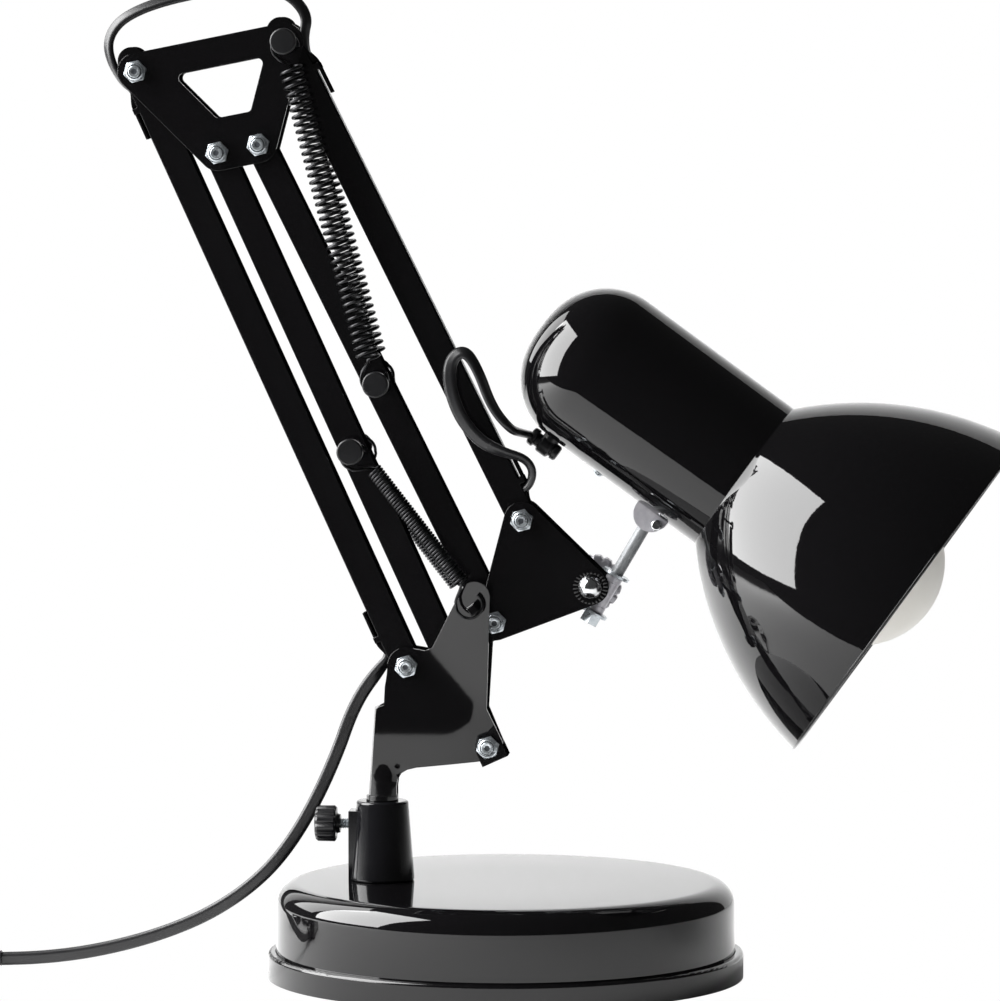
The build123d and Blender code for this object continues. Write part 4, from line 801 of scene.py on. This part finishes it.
def bracket_outline():
    corners = [Vector(q) for q in arc(P1, 7.6, 180, 66, 14)]
    corners += [CREASE_A + Vector((-2.4, 0.9)), CREASE_A + Vector((0.6, 2.2))]
    corners += ear_outline()
    corners += [CREASE_B]
    corners += [Vector(q) for q in arc(P2, 5.7, 24, -92, 12)]
    corners += [Vector(q) for q in ((-35.0, 83.7), (-38.6, 82.8), (-41.2, 81.2), (-42.6, 78.8))]
    corners += [Vector((STEM_RIGHT, 76.0)), Vector((STEM_RIGHT, STEM_FOOT)), Vector((STEM_LEFT, STEM_FOOT))]
    corners += [Vector(q) for q in ((-50.9, 106.0), (-50.5, 107.4), (-49.4, 108.0), (P1[0] - 9.0, 108.6))]
    corners += [Vector((P1[0] - 8.6, 116.0)), Vector((P1[0] - 7.8, 121.0))]
    points = []
    for a, b in zip(corners, corners[1:] + corners[:1]):
        parts = max(1, round((b - a).length / 1.6))
        points += [a.lerp(b, i / parts) for i in range(parts)]
    return points


def inside(point, loop):
    crossings = 0
    for a, b in zip(loop, loop[1:] + loop[:1]):
        if (a.y > point.y) != (b.y > point.y):
            if point.x < a.x + (point.y - a.y) / (b.y - a.y) * (b.x - a.x):
                crossings += 1
    return crossings % 2 == 1


def bracket_sheet(name, side):
    loop = bracket_outline()
    count = len(loop)
    points = list(loop)
    for i in range(-40, 20):
        for j in range(48, 112):
            q = Vector((i + (j % 2) / 2, j)) * SHEET_GRID
            if inside(q, loop) and min((q - edge).length for edge in loop) > 1.0:
                points.append(q)
    rim = [(i, (i + 1) % count) for i in range(count)]
    flat, _, cells, _, _, _ = delaunay_2d_cdt(points, rim, [], 1, 1e-5)
    verts = [mm(q.x, side * sheet_depth(q.x, q.y), q.y) for q in flat]
    verts += [mm(q.x, side * (sheet_depth(q.x, q.y) - SHEET_T), q.y) for q in flat]
    total = len(flat)
    faces = [tuple(cell) for cell in cells] + [tuple(total + i for i in reversed(cell)) for cell in cells]
    faces += [(a, b, total + b, total + a) for a, b in rim]
    return mesh_object(name, verts, faces, [SHEET_PAINT])


def stem_web():
    rows, steps = 30, 16
    verts, faces = [], []
    for inset in (0.0, SHEET_T):
        for i in range(rows + 1):
            t = i / rows
            z = STEM_FOOT + (107.2 - STEM_FOOT) * t
            x = STEM_LEFT + (-50.8 - STEM_LEFT) * t
            half = sheet_depth(x, z) - 0.2
            for j in range(steps + 1):
                across = 2 * j / steps - 1
                verts.append(mm(x + inset - 1.1 * (1 - across * across), half * across, z))
    wide = steps + 1
    layer = (rows + 1) * wide
    for i in range(rows):
        for j in range(steps):
            a = i * wide + j
            faces.append((a, a + 1, a + wide + 1, a + wide))
            faces.append((layer + a, layer + a + wide, layer + a + wide + 1, layer + a + 1))
    for i in (0, rows):
        for j in range(steps):
            a = i * wide + j
            faces.append((a, a + 1, layer + a + 1, layer + a))
    return mesh_object("stem_web", verts, faces, [SHEET_PAINT])


def hook_tab(name, side):
    way = (Vector(TAB) - Vector(LOWER_PEG)).normalized()
    other = Vector((-way.y, way.x))
    verts, faces = [], []
    for depth, half in ((13.2, 1.8), (18.2, 1.8), (18.6, 1.5)):
        for u, v in ((-1, -1), (1, -1), (1, 1), (-1, 1)):
            q = Vector(TAB) + way * u * half + other * v * half
            verts.append(mm(q.x, side * depth, q.y))
    for i in (0, 4):
        for j in range(4):
            k = (j + 1) % 4
            faces.append((i + j, i + k, i + 4 + k, i + 4 + j))
    faces.append((8, 9, 10, 11))
    return mesh_object(name, verts, faces, [SHEET_PAINT])


joined("bracket_sheets", [
    bracket_sheet("sheet_near", -1), bracket_sheet("sheet_far", 1), stem_web(), hook_tab("tab_near", -1),
    hook_tab("tab_far", 1),
], "post", ["lower_bracket"])

# Shade: a spun skin with a rolled rim, black outside and white inside
NECK_L, NECK_R, NECK_ROUND, CREASE_R = 99.2, 32.9, 28.0, 32.8
BELL_L, BELL_R, BELL_MID_L, BELL_MID_R = 78.8, 74.9, 29.3, 56.8
WALL, RIM_BEAD = 0.9, 1.0


def circle_through(a, b, c):
    """Centre and radius of the circle through three points."""
    d = 2 * (a[0] * (b[1] - c[1]) + b[0] * (c[1] - a[1]) + c[0] * (a[1] - b[1]))
    squares = [q[0] ** 2 + q[1] ** 2 for q in (a, b, c)]
    x = (squares[0] * (b[1] - c[1]) + squares[1] * (c[1] - a[1]) + squares[2] * (a[1] - b[1])) / d
    y = (squares[0] * (c[0] - b[0]) + squares[1] * (a[0] - c[0]) + squares[2] * (b[0] - a[0])) / d
    return (x, y), math.hypot(a[0] - x, a[1] - y)


bell_centre, bell_radius = circle_through((0.0, CREASE_R), (BELL_MID_L, BELL_MID_R), (BELL_L, BELL_R))


def angle_from(centre, point):
    return math.degrees(math.atan2(point[1] - centre[1], point[0] - centre[0]))


def skin(inset):
    """The shade's profile, moved inwards, from the dome's middle to the rim."""
    dome_centre = (-NECK_L + NECK_ROUND, NECK_R - NECK_ROUND)
    start = angle_from(bell_centre, (0.0, CREASE_R))
    stop = angle_from(bell_centre, (BELL_L, BELL_R))
    points = [(-NECK_L + inset, 0.0)]
    points += arc(dome_centre, NECK_ROUND - inset, 180, 90, 24)
    points += [(-36.0, NECK_R - 0.05 - inset), (-0.6, CREASE_R - inset)]
    points += arc(bell_centre, bell_radius - inset, start, stop, 48)
    return points


outside = skin(0.0)
bead = arc((BELL_L, BELL_R - WALL / 2), RIM_BEAD, 100, -100, 12)
shade_profile = outside + bead + list(reversed(skin(WALL)))
black_rows = len(outside) + len(bead) - 1
shade_skin = lathe("shade_skin", shade_profile, HEAD_ORIGIN, HEAD_DIR, [PAINT, WHITE_PAINT], 192,
                   material_rows=lambda row: 0 if row < black_rows else 1)
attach(shade_skin, "head")
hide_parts("shade")

# Bulb: a frosted globe on a short neck
BULB_R, BULB_CENTRE, BULB_NECK_R, BULB_FOOT = 33.0, 56.8, 14.0, -5.5
neck_end = (3.0, BULB_NECK_R)
reach = math.hypot(BULB_CENTRE - neck_end[0], BULB_NECK_R)
lean = math.degrees(math.atan2(BULB_NECK_R, BULB_CENTRE - neck_end[0]))
touch = 180 - lean - math.degrees(math.acos(BULB_R / reach))
globe = arc((BULB_CENTRE, 0.0), BULB_R, touch, 0, 40)
bulb_profile = [(BULB_FOOT, 0.0), (BULB_FOOT, BULB_NECK_R - 0.6), (BULB_FOOT + 0.6, BULB_NECK_R), neck_end]
bulb_globe = lathe("bulb_globe", bulb_profile + globe, HEAD_ORIGIN, HEAD_DIR, [BULB], 128)
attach(bulb_globe, "bulb")
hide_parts("bulb_glass")

# Base: a pressed dome with a wide soft edge and a skirt ring
BASE_R, BASE_TOP, BASE_ROUND, BASE_FOOT, SHELL = 91.0, 38.2, 9.0, 3.6, 1.2
base_edge = arc((BASE_R - BASE_ROUND, BASE_TOP - BASE_ROUND), BASE_ROUND, 90, 0, 20)
shell_profile = [(BASE_TOP, 0.0), (BASE_TOP, 40.0)] + [(z, r) for r, z in base_edge]
shell_profile += [(20.0, BASE_R), (BASE_FOOT, BASE_R), (BASE_FOOT, BASE_R - SHELL)]
shell_profile += [(BASE_TOP - BASE_ROUND, BASE_R - SHELL), (BASE_TOP - SHELL, BASE_R - BASE_ROUND)]
shell_profile += [(BASE_TOP - SHELL, 0.0)]
base_dome = lathe("base_dome", shell_profile, (0, 0, 0), (0, 0, 1), [PAINT], 256)
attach(base_dome, "base")
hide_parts("base_shell")

# Thumb knob with coarse ribs, and the thread that shows beside it
POST_X, THUMB_Z = -49.0, 60.6
KNOB_NEAR, KNOB_FAR, KNOB_R, KNOB_RIBS = 16.7, 26.7, 7.2, 11


def ribs(along, radius, a):
    if radius < KNOB_R - 1.6:
        return radius, along
    return radius - 0.9 * (0.5 - 0.5 * math.cos(a * KNOB_RIBS)) ** 3, along


THUMB_AT = Vector((POST_X, 0, THUMB_Z))
knob_profile = [
    (KNOB_NEAR, 0.0), (KNOB_NEAR, 3.6), (KNOB_NEAR + 1.4, 4.0), (KNOB_NEAR + 1.6, KNOB_R - 0.7),
    (KNOB_NEAR + 2.2, KNOB_R), (KNOB_FAR - 1.2, KNOB_R - 0.1), (KNOB_FAR - 0.3, KNOB_R - 0.8),
    (KNOB_FAR, KNOB_R - 2.0), (KNOB_FAR - 0.3, 3.0), (KNOB_FAR - 0.3, 0.0),
]
thumb_knob = lathe("thumb_knob", knob_profile, THUMB_AT, (-1, 0, 0), [PLASTIC], 132, ribs)
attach(thumb_knob, "thumb_screw")
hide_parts("thumb_screw_knob")
THREAD_FROM, THREAD_TO, THREAD_PITCH, ROOT_R, CREST_R = 4.0, 24.8, 0.8, 1.72, 2.04
thread_profile = [(THREAD_FROM, 0.0)]
for i in range(26):
    low = THREAD_FROM + i * THREAD_PITCH
    thread_profile += [(low, ROOT_R), (low + THREAD_PITCH / 2, CREST_R)]
thread_profile += [(THREAD_TO, ROOT_R), (THREAD_TO, 0.0)]
thumb_thread = lathe("thumb_thread", thread_profile, THUMB_AT, (-1, 0, 0), [ZINC], 48)
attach(thumb_thread, "thumb_screw")
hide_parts("thumb_screw_shank")

# Gland on the neck: a ringed sleeve on a short boss
GLAND_AT = Vector(GLAND_MOUTH)
gland_profile = [
    (-0.6, 0.0), (-0.6, 2.8), (-0.4, 3.3), (0.0, 3.6), (1.8, 3.8), (2.2, 3.5), (2.5, 2.8), (3.9, 2.8),
    (4.2, 3.6), (4.7, 4.0), (8.8, 4.0), (9.3, 3.6), (9.7, 2.8), (10.2, 2.7), (10.5, 3.3), (12.2, 3.2),
    (12.8, 2.6), (13.0, 0.0),
]
gland_sleeve = lathe("gland_sleeve", gland_profile, GLAND_AT, HEAD_DIR, [PLASTIC], 48)
gland_boss = lathe("gland_boss", [(0.0, 0.0), (0.0, 3.4), (4.4, 3.4), (4.6, 3.8), (5.2, 3.8), (5.2, 0.0)],
                   GLAND_AT + HEAD_DIR * 7.0, -HEAD_DOWN, [PLASTIC], 40)
joined("gland", [gland_sleeve, gland_boss], "head", ["cord_gland"])

# Small domed screw under the neck
NECK_SCREW_AT = HEAD_ORIGIN - HEAD_DIR * 47.4 + HEAD_DOWN * 32.6
screw_dome = [(0.0, 0.0), (0.0, 2.1), (0.5, 2.2)] + arc((-0.4, 0.0), 2.35, 66, 8, 8)
screw_dome += [(1.6, 0.9), (1.6, 0.0)]
neck_screw = lathe("neck_screw", screw_dome, NECK_SCREW_AT, HEAD_DOWN, [ZINC], 40)
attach(neck_screw, "head")

# Strain reliefs: ribbed sleeves that taper along the lead
RELIEF_L = 24.0


def relief(name, mouth, way, wide, thin):
    profile = [(-0.5, 0.0), (-0.5, wide)]
    rings = 7
    for i in range(rings):
        t = i / rings
        r = wide + (thin - wide) * t
        low = RELIEF_L * t
        step_l = RELIEF_L / rings
        profile += [(low + 0.12 * step_l, r), (low + 0.62 * step_l, r - 0.05)]
        profile += [(low + 0.68 * step_l, r - 0.7), (low + 0.98 * step_l, r - 0.72)]
    profile += [(RELIEF_L, thin - 0.3), (RELIEF_L + 0.4, thin - 0.9), (RELIEF_L + 0.4, 0.0)]
    obj = lathe(name, profile, mouth, way, [FLEX], 40)
    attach(obj, "base")
    return obj


SWITCH_L, PLUG_X, PLUG_Y, PLUG_Z = 56.0, -278.0, 77.1, 8.4
relief("switch_relief_in", (SWITCH_X, 0, SWITCH_CORD_Z), (1, 0, 0.02), 4.3, 3.5)
relief("switch_relief_out", (SWITCH_X - SWITCH_L, 0, SWITCH_CORD_Z), (-1, 0, -0.02), 4.3, 3.5)
relief("plug_relief", (PLUG_X, PLUG_Y, PLUG_Z), (-1, 0, 0), 5.4, 3.6)


# Stage: white floor and backdrop, and soft panels
def stage_material(name, colour, glow):
    m = bpy.data.materials.new(name)
    m.use_nodes = True
    tree = m.node_tree
    tree.nodes.clear()
    out = tree.nodes.new("ShaderNodeOutputMaterial")
    mix = tree.nodes.new("ShaderNodeMixShader")
    diffuse = tree.nodes.new("ShaderNodeBsdfDiffuse")
    diffuse.inputs["Color"].default_value = (*colour, 1)
    emit = tree.nodes.new("ShaderNodeEmission")
    emit.inputs["Color"].default_value = (1, 1, 1, 1)
    emit.inputs["Strength"].default_value = glow
    path = tree.nodes.new("ShaderNodeLightPath")
    tree.links.new(path.outputs["Is Camera Ray"], mix.inputs[0])
    tree.links.new(diffuse.outputs[0], mix.inputs[1])
    tree.links.new(emit.outputs[0], mix.inputs[2])
    tree.links.new(mix.outputs[0], out.inputs["Surface"])
    return m


STAGE_WHITE = stage_material("stage_white", (0.9, 0.9, 0.9), 1.0)
FLOOR_FRONT, FLOOR_BACK, FLOOR_SIDE = -0.42, 1.4, 2.6
WALL_LEFT, WALL_RIGHT, WALL_TOP, FLOOR_Z = -1.2, 1.0, 1.5, -0.0005
floor_corners = [
    (-FLOOR_SIDE, FLOOR_FRONT, FLOOR_Z), (FLOOR_SIDE, FLOOR_FRONT, FLOOR_Z),
    (FLOOR_SIDE, FLOOR_BACK, FLOOR_Z), (-FLOOR_SIDE, FLOOR_BACK, FLOOR_Z),
]
wall_corners = [
    (WALL_LEFT, FLOOR_BACK, FLOOR_Z), (WALL_RIGHT, FLOOR_BACK, FLOOR_Z),
    (WALL_RIGHT, FLOOR_BACK, WALL_TOP), (WALL_LEFT, FLOOR_BACK, WALL_TOP),
]
floor = mesh_object("floor", floor_corners, [(0, 1, 2, 3)], [STAGE_WHITE])
wall = mesh_object("backdrop", wall_corners, [(0, 1, 2, 3)], [STAGE_WHITE])
wall.visible_camera = False

# World: white to the camera, dim to everything else
WORLD_DIM, WORLD_SEEN, WORLD_BOUNCE = 0.05, 1.0, 0.1
world = bpy.data.worlds.new("world")
scene.world = world
world.use_nodes = True
tree = world.node_tree
background = tree.nodes["Background"]
path = tree.nodes.new("ShaderNodeLightPath")
level = tree.nodes.new("ShaderNodeMapRange")
level.inputs["To Min"].default_value = WORLD_DIM
level.inputs["To Max"].default_value = WORLD_SEEN
tree.links.new(path.outputs["Is Camera Ray"], level.inputs["Value"])
bounce = tree.nodes.new("ShaderNodeMath")
bounce.operation = "MULTIPLY_ADD"
bounce.inputs[1].default_value = WORLD_BOUNCE
tree.links.new(path.outputs["Is Diffuse Ray"], bounce.inputs[0])
tree.links.new(level.outputs["Result"], bounce.inputs[2])
tree.links.new(bounce.outputs[0], background.inputs["Strength"])
background.inputs["Color"].default_value = (1, 1, 1, 1)


def panel(name, place, target, wide, high, power):
    """A soft lamp of that size in metres and power in watts, turned to a point."""
    data = bpy.data.lights.new(name, "AREA")
    data.shape = "RECTANGLE"
    data.size = wide
    data.size_y = high
    data.energy = power
    obj = bpy.data.objects.new(name, data)
    scene.collection.objects.link(obj)
    obj.location = place
    obj.rotation_euler = (Vector(target) - Vector(place)).to_track_quat("-Z", "Y").to_euler()
    return obj


panel("key_left", (-1.06, -0.17, 0.76), (0.1, 0.0, 0.2), 1.06, 1.32, 56)
panel("fill_left", (-1.04, 0.62, 0.85), (0.0, 0.0, 0.15), 0.58, 1.0, 8)
